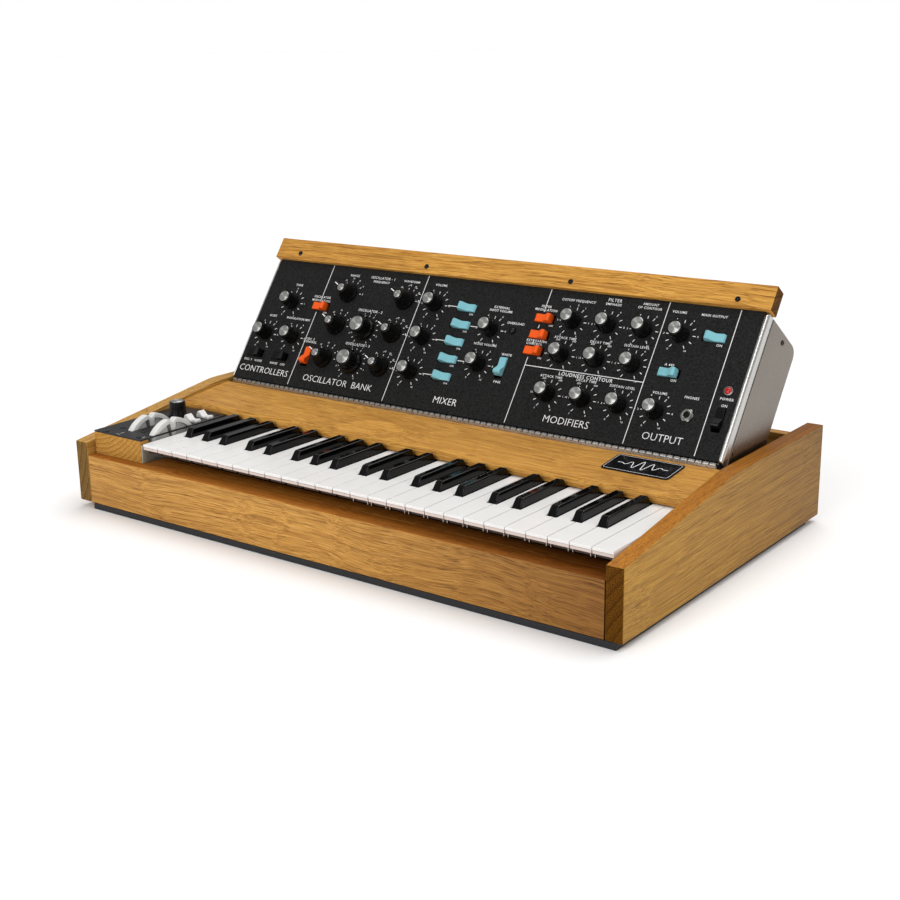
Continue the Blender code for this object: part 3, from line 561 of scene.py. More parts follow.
def crinkle_paint(name, colour, rough, size, relief, fleck=0.5, specular=0.3):
    """Textured paint: a fine crinkle with lighter flecks where it catches the light."""
    n = Nodes(name)
    cells = n.node(
        "ShaderNodeTexVoronoi", {"Scale": size, "Vector": n.coords()}, "Distance", feature="SMOOTH_F1"
    )
    fine = n.noise(n.coords(), scale=size * 1.3, detail=3.0)
    height = n.node("ShaderNodeMath", {0: cells, 1: fine}, "Value", operation="ADD")
    lighter = tuple(c * (1 + fleck) for c in colour)
    darker = tuple(c * (1 - fleck) for c in colour)
    n.set(
        colour=n.ramp(fine, [(0.35, darker), (0.65, lighter)]),
        rough=n.remap(fine, 0.3, 0.7, rough * 0.85, rough * 1.15),
        specular=specular,
    )
    n.bump(height, relief, 0.6)
    return n.material


def turned_aluminium():
    """A lathe-turned face: fine circular marks, and the fan-shaped glints that they give."""
    n = Nodes("turned_aluminium")
    inputs = {"Scale": 700.0, "Distortion": 0.6, "Vector": n.coords()}
    marks = n.node("ShaderNodeTexWave", inputs, "Fac", wave_type="RINGS", rings_direction="Z")
    n.set(
        colour=n.ramp(marks, [(0.0, (0.42, 0.42, 0.40)), (1.0, (0.56, 0.56, 0.54))]),
        rough=0.30,
        metallic=1.0,
        anisotropic=0.95,
        anisotropic_turn=0.25,
        tangent=n.node("ShaderNodeTangent", {}, "Tangent", direction_type="RADIAL", axis="Z"),
    )
    return n.material


def ink():
    n = Nodes("white_print")
    speck = n.noise(n.coords(), scale=1800.0, detail=2.0)
    n.set(colour=n.ramp(speck, [(0.3, (0.70, 0.70, 0.70)), (0.6, (0.88, 0.88, 0.88))]), rough=0.5)
    return n.material


QUARTER = math.pi / 2
# Painted shade: the front rail darkens towards its right end, the right cheek towards its rear.
RAIL_FADE = ("X", 0.02, 0.40, SHADED)
CHEEK_FADE = ("Y", -0.12, 0.22, SHADED_REAR)
# The rail's ledge is tinted as painted shade, and the rail darkens towards its right end as painted shade.
OAK_RAIL = oak(
    "oak_front_rail", (0.1, 0.035, -0.17), rings=26.0, sway=1.3, fine=1.6, top_painted_light=RED_LEDGE_SHADE, fade=RAIL_FADE
)
OAK_DECK = oak("oak_deck", (0.6, 0.05, -0.30), fine=1.6, tint=BRIGHT)
OAK_TOP = oak("oak_top_rail", (0.3, -0.12, -0.02), sway=0.7, fine=1.3, tint=BRIGHT)
OAK_REAR = oak("oak_rear", (0.9, -0.1, -0.16), fine=1.5)
# The right cheek's top faces are tinted orange as painted light, and its rear darkens as painted shade.
OAK_RIGHT = oak(
    "oak_right_cheek",
    (0.2, -0.55, 0.10),
    QUARTER,
    rings=34.0,
    sway=0.35,
    fine=2.3,
    tint=OLIVE,
    top_painted_light=ORANGE_TOP_LIGHT,
    fade=CHEEK_FADE,
)
OAK_LEFT = oak(
    "oak_left_cheek",
    (0.7, 0.55, -0.12),
    QUARTER,
    rings=34.0,
    sway=0.35,
    fine=2.0,
    tint=PALE,
    end_tones=LEFT_END_TONES,
)
OAK_BLOCK = oak("oak_block", (0.4, 0.33, -0.16), QUARTER, rings=60.0, end_tones=BLOCK_END_TONES)
PANEL_PAINT = crinkle_paint(
    "panel_paint", (0.0115, 0.0115, 0.0115), 0.46, size=420.0, relief=0.0004, fleck=0.6, specular=0.12
)
PLATE_PAINT = crinkle_paint(
    "plate_paint", (0.017, 0.017, 0.018), 0.42, size=700.0, relief=0.0001, specular=0.2
)
BLACK_PAINT = crinkle_paint(
    "black_paint", (0.016, 0.017, 0.020), 0.5, size=1500.0, relief=0.00004, fleck=0.25
)
# Painted shade: a darker, warmer copy of the housing's aluminium for its sides, the warmth a painted
# reflection of the wooden cheek.
HOUSING_SIDE_PAINTED_SHADE = metal(
    "housing_side_painted_shade", (0.22, 0.190, 0.160), 0.30, scale=500.0, spread=0.06, relief=0.000008
)
FRAME_METAL = metal(
    "frame_metal",
    (0.60, 0.585, 0.56),
    0.28,
    streak=(0.04, 1, 1),
    scale=1400.0,
    spread=0.03,
    relief=0.000001,
)
STEEL = metal("bright_steel", (0.42, 0.41, 0.39), 0.26, streak=(0.05, 1, 1))
HINGE_STEEL = metal("hinge_steel", (0.50, 0.485, 0.46), 0.34, streak=(1, 0.2, 0.2), spread=0.3)
DARK_STEEL = metal("dark_steel", (0.045, 0.045, 0.048), 0.38, metallic=0.6)
TURNED = turned_aluminium()
KEY_WHITE = moulding("key_white", (0.82, 0.805, 0.785), rough=0.20, spread=0.015)
KEY_BLACK = moulding(
    "key_black", (0.0012, 0.0012, 0.0014), rough=0.08, spread=0.1, relief=0.00001, specular=0.24
)
# Dark brown for the key levers and the keys' cores: partly the levers' own colour, partly painted shade
# under and between the keys.
KEY_LEVER_PAINTED_SHADE = moulding("key_lever_painted_shade", (0.045, 0.024, 0.012), rough=0.5, spread=0.2)
# A pinkish white: on the lower lips the tint is a painted reflection, and the guide pins share the
# material.
KEY_LIP_REFLECTION_AND_PINS = moulding("key_lip_reflection_and_pins", (0.66, 0.55, 0.50), rough=0.3, spread=0.03)
BRACKET = metal("key_bracket_metal", (0.50, 0.52, 0.42), 0.5, metallic=0.3)
# Painted shade for the walls of the wheels' pockets.
WHEEL_PAINTED_SHADE = moulding("wheel_painted_shade", (0.17, 0.165, 0.16), rough=0.5, spread=0.1)
WHEEL_WHITE = moulding("wheel_white", (0.70, 0.69, 0.665), rough=0.34, spread=0.02)
KNOB_BLACK = moulding("knob_black", (0.004, 0.004, 0.004), rough=0.22, spread=0.15, specular=0.16)
ORANGE = moulding("rocker_orange", (0.86, 0.105, 0.008), rough=0.40, spread=0.04, specular=0.25)
BLUE = moulding("rocker_blue", (0.20, 0.48, 0.54), rough=0.40, spread=0.04, specular=0.25)
GLOSS_BLACK = moulding("gloss_black", (0.005, 0.005, 0.006), rough=0.14, spread=0.1, specular=0.3)
INK = ink()


def circuit_laminate():
    n = Nodes("circuit_laminate")
    tracks = n.node("ShaderNodeTexBrick", {"Scale": 60.0, "Vector": n.coords()}, "Fac")
    weave = n.noise(n.coords(), scale=400.0)
    green = n.ramp(weave, [(0.3, (0.012, 0.10, 0.035)), (0.7, (0.02, 0.17, 0.06))])
    lines = n.ramp(tracks, [(0.4, (1.0, 1.0, 1.0)), (0.6, (0.6, 0.7, 0.5))])
    n.set(colour=n.mix("MULTIPLY", 0.8, green, lines), rough=0.4)
    return n.material


def red_lens():
    n = Nodes("red_lens")
    depth = n.noise(n.coords(), scale=500.0)
    n.set(
        colour=n.ramp(depth, [(0.3, (0.30, 0.003, 0.003)), (0.7, (0.50, 0.010, 0.008))]),
        rough=0.08,
        emission=(0.7, 0.004, 0.003),
        emission_strength=0.12,
    )
    return n.material


# ---- camera, floor and light ----

CAMERA_PLACE = (0.9379, -1.2322, 0.5265)
CAMERA_AZIMUTH = math.radians(36.803)
CAMERA_ELEVATION = math.radians(16.274)
CAMERA_ROLL = math.radians(-0.779)
CAMERA_LENS = 57.17


def make_camera():
    camera = bpy.data.objects.new("camera", bpy.data.cameras.new("camera"))
    camera.data.lens = CAMERA_LENS
    camera.data.sensor_width = 36.0
    camera.data.clip_end = 60.0
    turn = Matrix.Rotation(CAMERA_AZIMUTH, 4, "Z") @ Matrix.Rotation(QUARTER - CAMERA_ELEVATION, 4, "X")
    camera.matrix_world = Matrix.Translation(CAMERA_PLACE) @ turn @ Matrix.Rotation(CAMERA_ROLL, 4, "Z")
    bpy.context.scene.collection.objects.link(camera)
    bpy.context.scene.camera = camera


def make_floor():
    """A plain pale floor, wide enough to reach the horizon."""
    radius = 45.0
    bm = bmesh.new()
    bm.faces.new([bm.verts.new((x, y, 0)) for x, y in circle((0, 0), radius, 64)])
    mesh = bpy.data.meshes.new("floor")
    bm.to_mesh(mesh)
    bm.free()
    n = Nodes("floor")
    n.set(colour=(0.94, 0.94, 0.94), rough=0.8, specular=0.05)
    mesh.materials.append(n.material)
    floor = bpy.data.objects.new("floor", mesh)
    bpy.context.scene.collection.objects.link(floor)


def link_light(name, data, place, target):
    obj = bpy.data.objects.new(name, data)
    direction = Vector(target) - Vector(place)
    obj.matrix_world = Matrix.Translation(place) @ direction.to_track_quat("-Z", "Y").to_matrix().to_4x4()
    bpy.context.scene.collection.objects.link(obj)


def add_sun(name, place, strength, angle):
    lamp = bpy.data.lights.new(name, "SUN")
    lamp.energy = strength
    lamp.angle = math.radians(angle)
    link_light(name, lamp, place, (0, 0, 0))


def add_panel_light(name, place, target, size, size_y, power):
    lamp = bpy.data.lights.new(name, "AREA")
    lamp.energy = power
    lamp.shape = "RECTANGLE"
    lamp.size = size
    lamp.size_y = size_y
    link_light(name, lamp, place, target)


def make_world():
    """A white studio that is seen at full strength, and lights the object more gently."""
    world = bpy.data.worlds.new("studio")
    world.use_nodes = True
    tree = world.node_tree
    background = tree.nodes["Background"]
    background.inputs["Color"].default_value = (1.0, 1.0, 1.0, 1.0)
    path = tree.nodes.new("ShaderNodeLightPath")
    strength = tree.nodes.new("ShaderNodeMapRange")
    strength.inputs["To Min"].default_value = 0.38
    strength.inputs["To Max"].default_value = 1.0
    tree.links.new(path.outputs["Is Camera Ray"], strength.inputs["Value"])
    tree.links.new(strength.outputs["Result"], background.inputs["Strength"])
    bpy.context.scene.world = world


def make_light():
    bpy.context.scene.view_settings.view_transform = "Standard"
    make_world()
    add_sun("key_sun", (-0.15, -1.7, 1.25), 0.72, 26.0)
    add_sun("overhead_sun", (0.3, 0.9, 2.4), 1.95, 60.0)
    add_panel_light("front_softbox", (-0.25, -2.3, 0.50), (0.0, -0.1, 0.1), 1.3, 0.6, 12.0)
    add_panel_light("right_strip", (1.9, -0.35, 0.95), (0.35, 0.05, 0.2), 0.15, 1.3, 6.0)


make_camera()
make_floor()
make_light()

# ---- cabinet ----


def make_cabinet():
    for node, look in (("left_cheek", OAK_LEFT), ("right_cheek", OAK_RIGHT)):
        refined(node, look, "oak", bevel=0.0009, segments=3)
    refined("key_deck", OAK_DECK, "oak", bevel=0.0006)
    refined("rear_board", OAK_REAR, "oak", bevel=0.0009)
    refined("panel_top_rail", OAK_TOP, "oak", bevel=0.0008, segments=3)
    refined("base_plate", BLACK_PAINT, "black_metal", bevel=0.0004)
    refined("prop_stand", BLACK_PAINT, "black_metal", bevel=0.0003)
    refined("keyboard_frame", DARK_STEEL, "hinge_steel", bevel=0.0003)


def make_front_rail():
    """The rail with its ledge, and the end-grain block that carries the left-hand plate."""
    outline = [(0, WOOD_BOTTOM), (RAIL_THICK, WOOD_BOTTOM), (RAIL_THICK, LEDGE_UNDERSIDE)]
    outline += [(BLOCK_REAR, LEDGE_UNDERSIDE), (BLOCK_REAR, LEDGE_TOP), (0, LEDGE_TOP)]
    looks = {"slot": "oak", "stands_for": ["front_rail"]}
    bm = bmesh.new()
    add_prism(bm, [(back(y), z) for y, z in outline], -INNER + RAIL_END_GAP, INNER - RAIL_END_GAP)
    piece("front_rail_board", bm, "cabinet", OAK_RAIL, bevel=0.0008, segments=3, **looks)
    low = (KEY_START, back(BLOCK_REAR) + SLIT, LEDGE_UNDERSIDE + SLIT)
    high = (INNER, back(LEDGE_DEPTH), LEDGE_TOP - SLIT)
    box_piece("front_rail_ledge", low, high, "cabinet", OAK_RAIL, bevel=0.0003, **looks)
    low = (-INNER + RAIL_END_GAP, back(BLOCK_FRONT), LEDGE_TOP + SLIT)
    high = (KEY_START - 0.0013, back(BLOCK_REAR), BLOCK_TOP)
    box_piece("plate_block", low, high, "cabinet", OAK_BLOCK, bevel=0.0005, **looks)


def make_key_bracket():
    """The pale plate on the block's right-hand end, under the first key."""
    low = (KEY_START - 0.0012, back(0.0130), LEDGE_TOP + 2 * SLIT)
    high = (KEY_START - 0.0002, back(BLOCK_REAR), 0.0850)
    looks = {"slot": "hinge_steel", "bevel": 0.0002}
    box_piece("key_bracket", low, high, "cabinet", BRACKET, stands_for=["front_rail"], **looks)


make_cabinet()
make_front_rail()
make_key_bracket()

# ---- keys ----


def black_centres():
    offsets = {0: -0.17, 1: 0.0, 2: 0.17, 4: -0.10, 5: 0.10}
    centres = []
    for boundary in range(1, WHITE_COUNT):
        offset = offsets.get((boundary - 1) % 7)
        if offset is not None:
            centres.append(KEY_START + (boundary + offset) * KEY_PITCH)
    return centres


def white_outline(index, front, rear, inset=0.0):
    """A white key seen from above, with notches beside the black keys."""
    left = KEY_START + index * KEY_PITCH
    right = min(left + KEY_PITCH, INNER)
    half = BLACK_WIDTH / 2 + BLACK_CLEARANCE
    wide = (left + KEY_GAP + inset, right - KEY_GAP - inset)
    narrow = list(wide)
    for centre in black_centres():
        if abs(centre - left) < KEY_PITCH / 2:
            narrow[0] = centre + half + inset
        if abs(centre - right) < KEY_PITCH / 2:
            narrow[1] = centre - half - inset
    notch = back(BLACK_FRONT - BLACK_CLEARANCE) - inset
    points = [(wide[0], back(front)), (wide[1], back(front))]
    if narrow[1] < wide[1]:
        points += [(wide[1], notch), (narrow[1], notch)]
    points += [(narrow[1], back(rear)), (narrow[0], back(rear))]
    if narrow[0] > wide[0]:
        points += [(narrow[0], notch), (wide[0], notch)]
    return points


def add_guide_pin(bm, x):
    """The thin pin that hangs from a key's front edge."""
    start = len(bm.verts)
    profile = [(0, -PIN_LENGTH), (PIN_RADIUS, -PIN_LENGTH), (PIN_RADIUS, 0.0), (0, 0.0)]
    paint(add_lathe(bm, profile, 8), 2)
    moved(bm, start, Matrix.Translation((x, back(PIN_FROM_FRONT), KEY_BOTTOM + SLIT)))


def make_white_key(index):
    """A moulded top, a lower lip under a fine groove, and the lever beneath, with its guide pins. The core
    and the lever are dark brown, as painted shade, and the lip is tinted pink, as a painted reflection.
    """
    bm = bmesh.new()
    add_prism(bm, white_outline(index, KEY_FRONT, KEY_REAR), KEY_GROOVE + 0.0002, KEY_TOP, "Z")
    # The lower lip is tinted pink, a painted reflection.
    lip = white_outline(index, KEY_FRONT + 0.0003, KEY_LIP_REAR)[:2]
    low = (lip[0][0] + SLIT, lip[0][1], KEY_BOTTOM)
    high = (lip[1][0] - SLIT, back(KEY_LIP_REAR), KEY_GROOVE - 0.0002)
    paint(add_box(bm, low, high), 2)
    # Painted shade: the core inside the key is dark brown, so the fine groove and the gaps between keys
    # read dark.
    core = white_outline(index, KEY_FRONT + 0.0011, KEY_REAR - 0.001, 0.0004)
    paint(add_prism(bm, core, KEY_BOTTOM + 0.0006, KEY_GROOVE + 0.0008, "Z"), 1)
    # The lever and its foot are dark brown: partly the lever's own colour, partly painted shade under the
    # keys.
    left, right = lip[0][0] + 0.0008, lip[1][0] - 0.0008
    high = (right, back(KEY_LIP_REAR), KEY_BOTTOM - SLIT)
    paint(add_box(bm, (left, back(LEVER_FRONT), LEVER_BOTTOM), high), 1)
    high = (right, back(KEY_LIP_REAR), LEVER_BOTTOM - SLIT)
    paint(add_box(bm, (left, back(LEVER_FOOT_FRONT), LEVER_FOOT_BOTTOM), high), 1)
    if index >= WHITE_COUNT // 2:  # on the left the pins can't be told from the shadow, so none are made
        for x in (left + 0.0012, right - 0.0012):
            add_guide_pin(bm, x)
    body, node = ("low_f", "key_low_f") if index == 0 else ("white_key_set", "white_keys")
    name = f"white_key_{index + 1:02d}"
    looks = [KEY_WHITE, KEY_LEVER_PAINTED_SHADE, KEY_LIP_REFLECTION_AND_PINS]
    piece(name, bm, body, looks, slot="key_white", bevel=0.00045, segments=3, stands_for=[node])


def make_black_key(index, centre):
    """A lofted sharp: sloping front, flat top, and a low tail that runs under the deck."""
    low = KEY_BOTTOM - 0.0012
    tail_top = KEY_TOP - 0.0003
    wide, top = BLACK_WIDTH / 2, BLACK_TOP_WIDTH / 2
    stations = [
        (BLACK_FRONT, low, KEY_TOP - 0.0010, wide),
        (BLACK_FRONT + 0.0066, low, BLACK_TOP - 0.0004, top),
        (BLACK_FRONT + 0.0100, low, BLACK_TOP, top),
        (BLACK_END - 0.0025, low, BLACK_TOP, top),
        (BLACK_END, low, tail_top, wide),
        (KEY_REAR, low, tail_top, wide),
    ]
    rings = []
    for distance, bottom, height, half in stations:
        y = back(distance)
        corners = [(-wide, bottom), (wide, bottom), (half, height), (-half, height)]
        rings.append([(centre + x, y, z) for x, z in corners])
    bm = bmesh.new()
    add_loft(bm, rings)
    body, node = ("low_f_sharp", "key_low_f_sharp") if index == 0 else ("black_key_set", "black_keys")
    name = f"black_key_{index + 1:02d}"
    looks = {"slot": "key_black", "bevel": 0.0013, "segments": 5, "sharp": 20}
    piece(name, bm, body, KEY_BLACK, stands_for=[node], **looks)


for key in range(WHITE_COUNT):
    make_white_key(key)
for key, middle in enumerate(black_centres()):
    make_black_key(key, middle)

# ---- left-hand controls ----

PLATE_SCREWS = (  # x, distance behind the front, radius
    (-0.3299, 0.0175, 0.0034),
    (-0.3254, 0.0389, 0.0034),
    (-0.2920, 0.0399, 0.0034),
    (-0.2771, 0.0208, 0.0034),
    (-0.3370, 0.1400, 0.0026),
    (-0.2740, 0.1400, 0.0026),
)
SCREW_LOOKS = [GLOSS_BLACK, DARK_STEEL]


def wheel_notch(angle):
    """How deep the thumb notch is at an angle from the wheel's top, from 0 to 1."""
    half = math.radians(8.5)
    return math.cos(angle / half * QUARTER) ** 1.2 if abs(angle) < half else 0.0


def wheel_pocket(angle):
    """How much of the side pockets' depth there is at an angle from the top, from 0 to 1."""
    start, end = math.radians(9.5), math.radians(12.5)
    share = (abs(angle) - start) / (end - start)
    return min(1.0, max(0.0, share))


def wheel_profile():
    """Half of a wheel's section: radius, distance from its middle plane, and 1 on a pocket's floor."""
    half = WHEEL_THICK / 2
    return [
        (WHEEL_BORE, half, 0),
        (0.0100, half, 0),
        (0.0105, half, 1),
        (0.0322, half, 1),
        (0.0328, half, 0),
        (0.0366, half, 0),
        (0.0377, half - 0.0005, 0),
        (WHEEL_RADIUS, half - 0.0016, 0),
    ]


def make_wheel(name, body, x):
    """A thumb wheel with a rounded rim, a notch at the top and sunken pockets in its sides."""
    side = wheel_profile()
    profile = side + [(radius, -offset, sunk) for radius, offset, sunk in reversed(side)]
    rings = []
    bm = bmesh.new()

    def angle_at(step):
        return (step + 0.5) * math.tau / WHEEL_STEPS - math.pi

    for step in range(WHEEL_STEPS):
        angle = angle_at(step)
        ring = []
        for radius, offset, sunk in profile:
            if radius > WHEEL_RIM_START:
                share = min(1.0, (radius - WHEEL_RIM_START) / 0.003)
                radius -= WHEEL_NOTCH_DEPTH * wheel_notch(angle) * share
            offset -= math.copysign(sunk * WHEEL_POCKET_DEPTH * wheel_pocket(angle), offset)
            ring.append(bm.verts.new((offset, -radius * math.sin(angle), radius * math.cos(angle))))
        rings.append(ring)
    for step, (first, second) in enumerate(zip(rings, rings[1:] + rings[:1])):
        shares = [wheel_pocket(angle_at(step)), wheel_pocket(angle_at(step + 1))]
        for i in range(len(profile)):
            j = (i + 1) % len(profile)
            face = bm.faces.new((first[i], first[j], second[j], second[i]))
            # Painted shade: the pockets' outer and end walls are painted dark grey, for the shade along
            # their edges.
            nearest = min(profile[i][0], profile[j][0])
            outer_wall = profile[i][2] != profile[j][2] and nearest > WHEEL_RIM_START
            end_wall = profile[i][2] == profile[j][2] == 1 and shares[0] != shares[1]
            if (outer_wall and max(shares) > 0) or end_wall:
                face.material_index = 1
    place = Matrix.Translation((x, back(WHEEL_CENTRE[0]), WHEEL_CENTRE[1]))
    looks = [WHEEL_WHITE, WHEEL_PAINTED_SHADE]
    piece(name + "_disc", bm, body, looks, place, slot="rocker_white", stands_for=[name], sharp=40)


def rocker_outline(half, tilt):
    """A rocker seen along its axis, with its pivot at 0: two raised ends and a valley between them."""
    end = half - 0.0008
    ridge = half * 0.70
    points = [
        (-end, -0.0015),
        (-half * 0.72, -0.0060),
        (half * 0.72, -0.0060),
        (end, -0.0015),
        (end, 0.0036),
        (ridge + 0.0008, 0.0053),
        (ridge - 0.0008, 0.0052),
        (0.0010, 0.0022),
        (-0.0010, 0.0022),
        (-ridge + 0.0008, 0.0052),
        (-ridge - 0.0008, 0.0053),
        (-end, 0.0036),
    ]
    outline = []
    for s, h in points:
        rise = h - ROCKER_PIVOT
        along = s * math.cos(tilt) + rise * math.sin(tilt)
        outline.append((along, rise * math.cos(tilt) - s * math.sin(tilt)))
    return outline


def make_rocker(name, body, node, look, slot, place, half=ROCKER_HALF, tilt=ROCKER_TILT):
    bm = bmesh.new()
    add_prism(bm, rocker_outline(half, tilt), -ROCKER_HALF_WIDTH, ROCKER_HALF_WIDTH, "Y")
    piece(name, bm, body, look, place, slot=slot, bevel=0.0005, segments=3, stands_for=[node])


def make_side_rockers():
    looks = (WHEEL_WHITE, "rocker_white")
    for number, distance in enumerate(SIDE_ROCKERS_BACK):
        place = Matrix.Translation((SIDE_ROCKER_X, back(distance), PLATE_TOP + ROCKER_PIVOT))
        name = f"side_rocker_{number + 1}"
        make_rocker(name, "side_switches", "side_rockers", *looks, place, SIDE_ROCKER_HALF)


def add_screw(bm, place, radius):
    """A flat screw head with a rounded rim and a six-sided socket."""
    start = len(bm.verts)
    sides = 24
    depth = radius * 0.32
    socket = radius * 0.46
    profile = [(0, depth * 0.15), (socket, depth * 0.15), (socket, depth), (radius * 0.82, depth)]
    profile += [(radius * 0.96, depth * 0.7), (radius, 0.0), (0, 0.0)]

    def hexagon(angle, r, _):
        if r > socket:
            return r
        sector = (angle % (math.tau / 6)) - math.pi / 6
        return r * math.cos(math.pi / 6) / math.cos(sector)

    faces = add_lathe(bm, profile, sides, hexagon)
    paint(faces[:2 * sides], 1)  # the floor and walls of the socket
    moved(bm, start, place)


def make_left_plate():
    refined("wheel_plate", PLATE_PAINT, "black_metal")
    low = (PLATE_RIGHT - 0.0018, back(PLATE_FRONT), PLATE_TOP)
    high = (PLATE_RIGHT, back(PLATE_REAR), PLATE_TOP + 0.0004)
    box_piece("wheel_plate_edge", low, high, "cabinet", GLOSS_BLACK, slot="black_metal", bevel=0.0001)
    bm = bmesh.new()
    for x, distance, radius in PLATE_SCREWS:
        add_screw(bm, Matrix.Translation((x, back(distance), PLATE_TOP)), radius)
    piece("wheel_plate_screws", bm, "cabinet", SCREW_LOOKS, slot="black_metal")


make_wheel("pitch_wheel", "pitch", PITCH_WHEEL_X)
make_wheel("mod_wheel", "modulation", MOD_WHEEL_X)
make_side_rockers()
make_left_plate()

# ---- knobs ----

SMALL = {"base": 0.0097, "top": 0.0085, "cap": 0.0068, "height": 0.0193, "ribs": 30, "skirt": False}
LARGE = {"base": 0.0142, "top": 0.0112, "cap": 0.0089, "height": 0.0200, "ribs": 36, "skirt": True}
RATE = {"base": 0.0108, "top": 0.0096, "cap": 0.0078, "height": 0.0203, "ribs": 30, "skirt": False}
POINTER = {"base": 0.0125, "top": 0.0072, "cap": 0.0046, "height": 0.0195, "ribs": 0, "skirt": True}
KNOB_LOOKS = [KNOB_BLACK, INK, STEEL]


def knob_profile(size):
    """The black body, with its foot or skirt, and a shallow seat for the cap at its top."""
    base, top, cap, height, skirt = (size[key] for key in ("base", "top", "cap", "height", "skirt"))
    rim = height - 0.0010
    waist = base * (0.86 if skirt else 0.955)
    waist_low, waist_high, taper = (0.0052, 0.0062, 0.55) if skirt else (0.0040, 0.0043, 0.35)
    return [
        (0, 0.0007),
        (base * 0.97, 0.0007),
        (base, 0.0011),
        (base, 0.0026),
        (base * 0.985, 0.0031),
        (waist, waist_low),
        (waist, waist_high),
        (top + (waist - top) * taper, rim * 0.62),
        (top, rim - 0.0009),
        (top - 0.0002, rim - 0.0003),
        (top - 0.0006, rim),
        (cap + 0.0001, rim),
        (cap + 0.0001, rim - 0.0006),
        (0, rim - 0.0006),
    ]


def add_knob_body(bm, size):
    """Turns the body, with fine flutes round its side where the knob has ribs."""
    ribs = size["ribs"]
    low, high = 0.0042, size["height"] - 0.0016

    def fluted(angle, radius, height):
        if not ribs or not low < height < high or radius < size["cap"]:
            return radius
        return radius * (1 - 0.022 * (0.5 - 0.5 * math.cos(angle * ribs)) ** 0.7)

    add_lathe(bm, knob_profile(size), 120 if ribs else 48, fluted)


def add_index_rib(bm, size):
    """The raised rib that runs down the body at the knob's pointing side."""
    top, base, rim = size["top"], size["base"], size["height"] - 0.0012
    start = size["cap"] + 0.0002
    half = 0.00045
    points = [(start, rim - 0.001), (start, rim + 0.0004), (top + 0.0009, rim + 0.0001)]
    points += [(base + 0.0006, 0.0034), (base - 0.0016, 0.0034)]
    add_prism(bm, points, -half, half, "X")


def add_pointer(bm, size):
    """The raised bar of a pointer knob, with a white line along its top."""
    rim = size["height"] - 0.0012
    stations = [
        (-0.0045, 0.0036, 0.0024, rim - 0.0006),
        (0.0060, 0.0034, 0.0021, rim - 0.0006),
        (POINTER_REACH - 0.0012, 0.0017, 0.0011, rim - 0.0014),
        (POINTER_REACH, 0.0012, 0.0008, rim - 0.0030),
    ]
    rings = []
    for y, foot, crest, height in stations:
        rings.append([(-foot, y, 0.0011), (foot, y, 0.0011), (crest, y, height), (-crest, y, height)])
    add_loft(bm, rings)
    start, end, crest = size["cap"] + 0.0001, POINTER_REACH - 0.0010, rim - 0.0003
    half = 0.00060
    rings = []
    for y, z in ((start, crest), (0.0062, crest), (end, rim - 0.0011)):
        low, high = z - 0.0004, z + 0.0003
        rings.append([(-half, y, low), (half, y, low), (half, y, high), (-half, y, high)])
    paint(add_loft(bm, rings), 1)


def add_cap(bm, size):
    """The turned metal disc let into the top of a knob."""
    cap, height = size["cap"], size["height"]
    profile = [
        (0, height - 0.0015),
        (cap, height - 0.0015),
        (cap, height - 0.00035),
        (cap - 0.0003, height - 0.0001),
        (cap - 0.0006, height),
        (0, height - 0.0002),
    ]
    add_lathe(bm, profile, 64)


def make_knob(node, body, place, size, turn=0.0):
    """One knob, as a black moulding with its shaft, and its metal cap. turn is to the left, in radians."""
    turned = place @ Matrix.Rotation(turn, 4, "Z")
    bm = bmesh.new()
    add_knob_body(bm, size)
    if size is POINTER:
        add_pointer(bm, size)
    else:
        add_index_rib(bm, size)
    shaft = [(0, -0.0118), (0.003, -0.0118), (0.003, 0.0010), (0, 0.0010)]
    paint(add_lathe(bm, shaft, 16), 2)
    piece(node + "_body", bm, body, KNOB_LOOKS, turned, slot="knob_black", stands_for=[node], sharp=38)
    bm = bmesh.new()
    add_cap(bm, size)
    piece(node + "_cap", bm, body, TURNED, turned, sharp=50)


SELECTORS = {
    f"osc{number}_{kind}": (x, u)
    for number, u in ((1, ROW_TOP), (2, ROW_MIDDLE), (3, ROW_LOW))
    for kind, x in (("range", RANGE_X), ("waveform", WAVEFORM_X))
}
LARGE_KNOBS = {
    "osc2_frequency": (FREQUENCY_X, ROW_MIDDLE),
    "osc3_frequency": (FREQUENCY_X, ROW_LOW),
}
# x, u, and the clock angle of the index line in degrees
SMALL_KNOBS = {
    "tune": (-0.2890, 0.1096, 0),
    "glide": (-0.3120, 0.0637, 0),
    "mod_mix": (-0.2669, 0.0640, 0),
    "osc1_volume": (MIXER_KNOB_X, ROW_TOP, 0),
    "osc2_volume": (MIXER_KNOB_X, ROW_MIDDLE, 0),
    "osc3_volume": (MIXER_KNOB_X, ROW_LOW, 0),
    "external_volume": (SOURCE_KNOB_X, 0.1085, 0),
    "noise_volume": (SOURCE_KNOB_X, 0.0645, 0),
    "cutoff": (FILTER_X[0], ROW_TOP, 150),
    "emphasis": (FILTER_X[1], ROW_TOP, -150),
    "contour_amount": (FILTER_X[2], ROW_TOP, -150),
    "filter_attack": (FILTER_X[0], FILTER_ROW, -150),
    "filter_decay": (FILTER_X[1], FILTER_ROW, -150),
    "filter_sustain": (FILTER_X[2], FILTER_ROW, 150),
    "loudness_attack": (FILTER_X[0], ROW_LOW, -150),
    "loudness_decay": (FILTER_X[1], ROW_LOW, -150),
    "loudness_sustain": (FILTER_X[2], ROW_LOW, 150),
    "main_volume": (OUTPUT_X, ROW_TOP, 0),
    "phones_volume": (OUTPUT_X, ROW_LOW, 0),
}

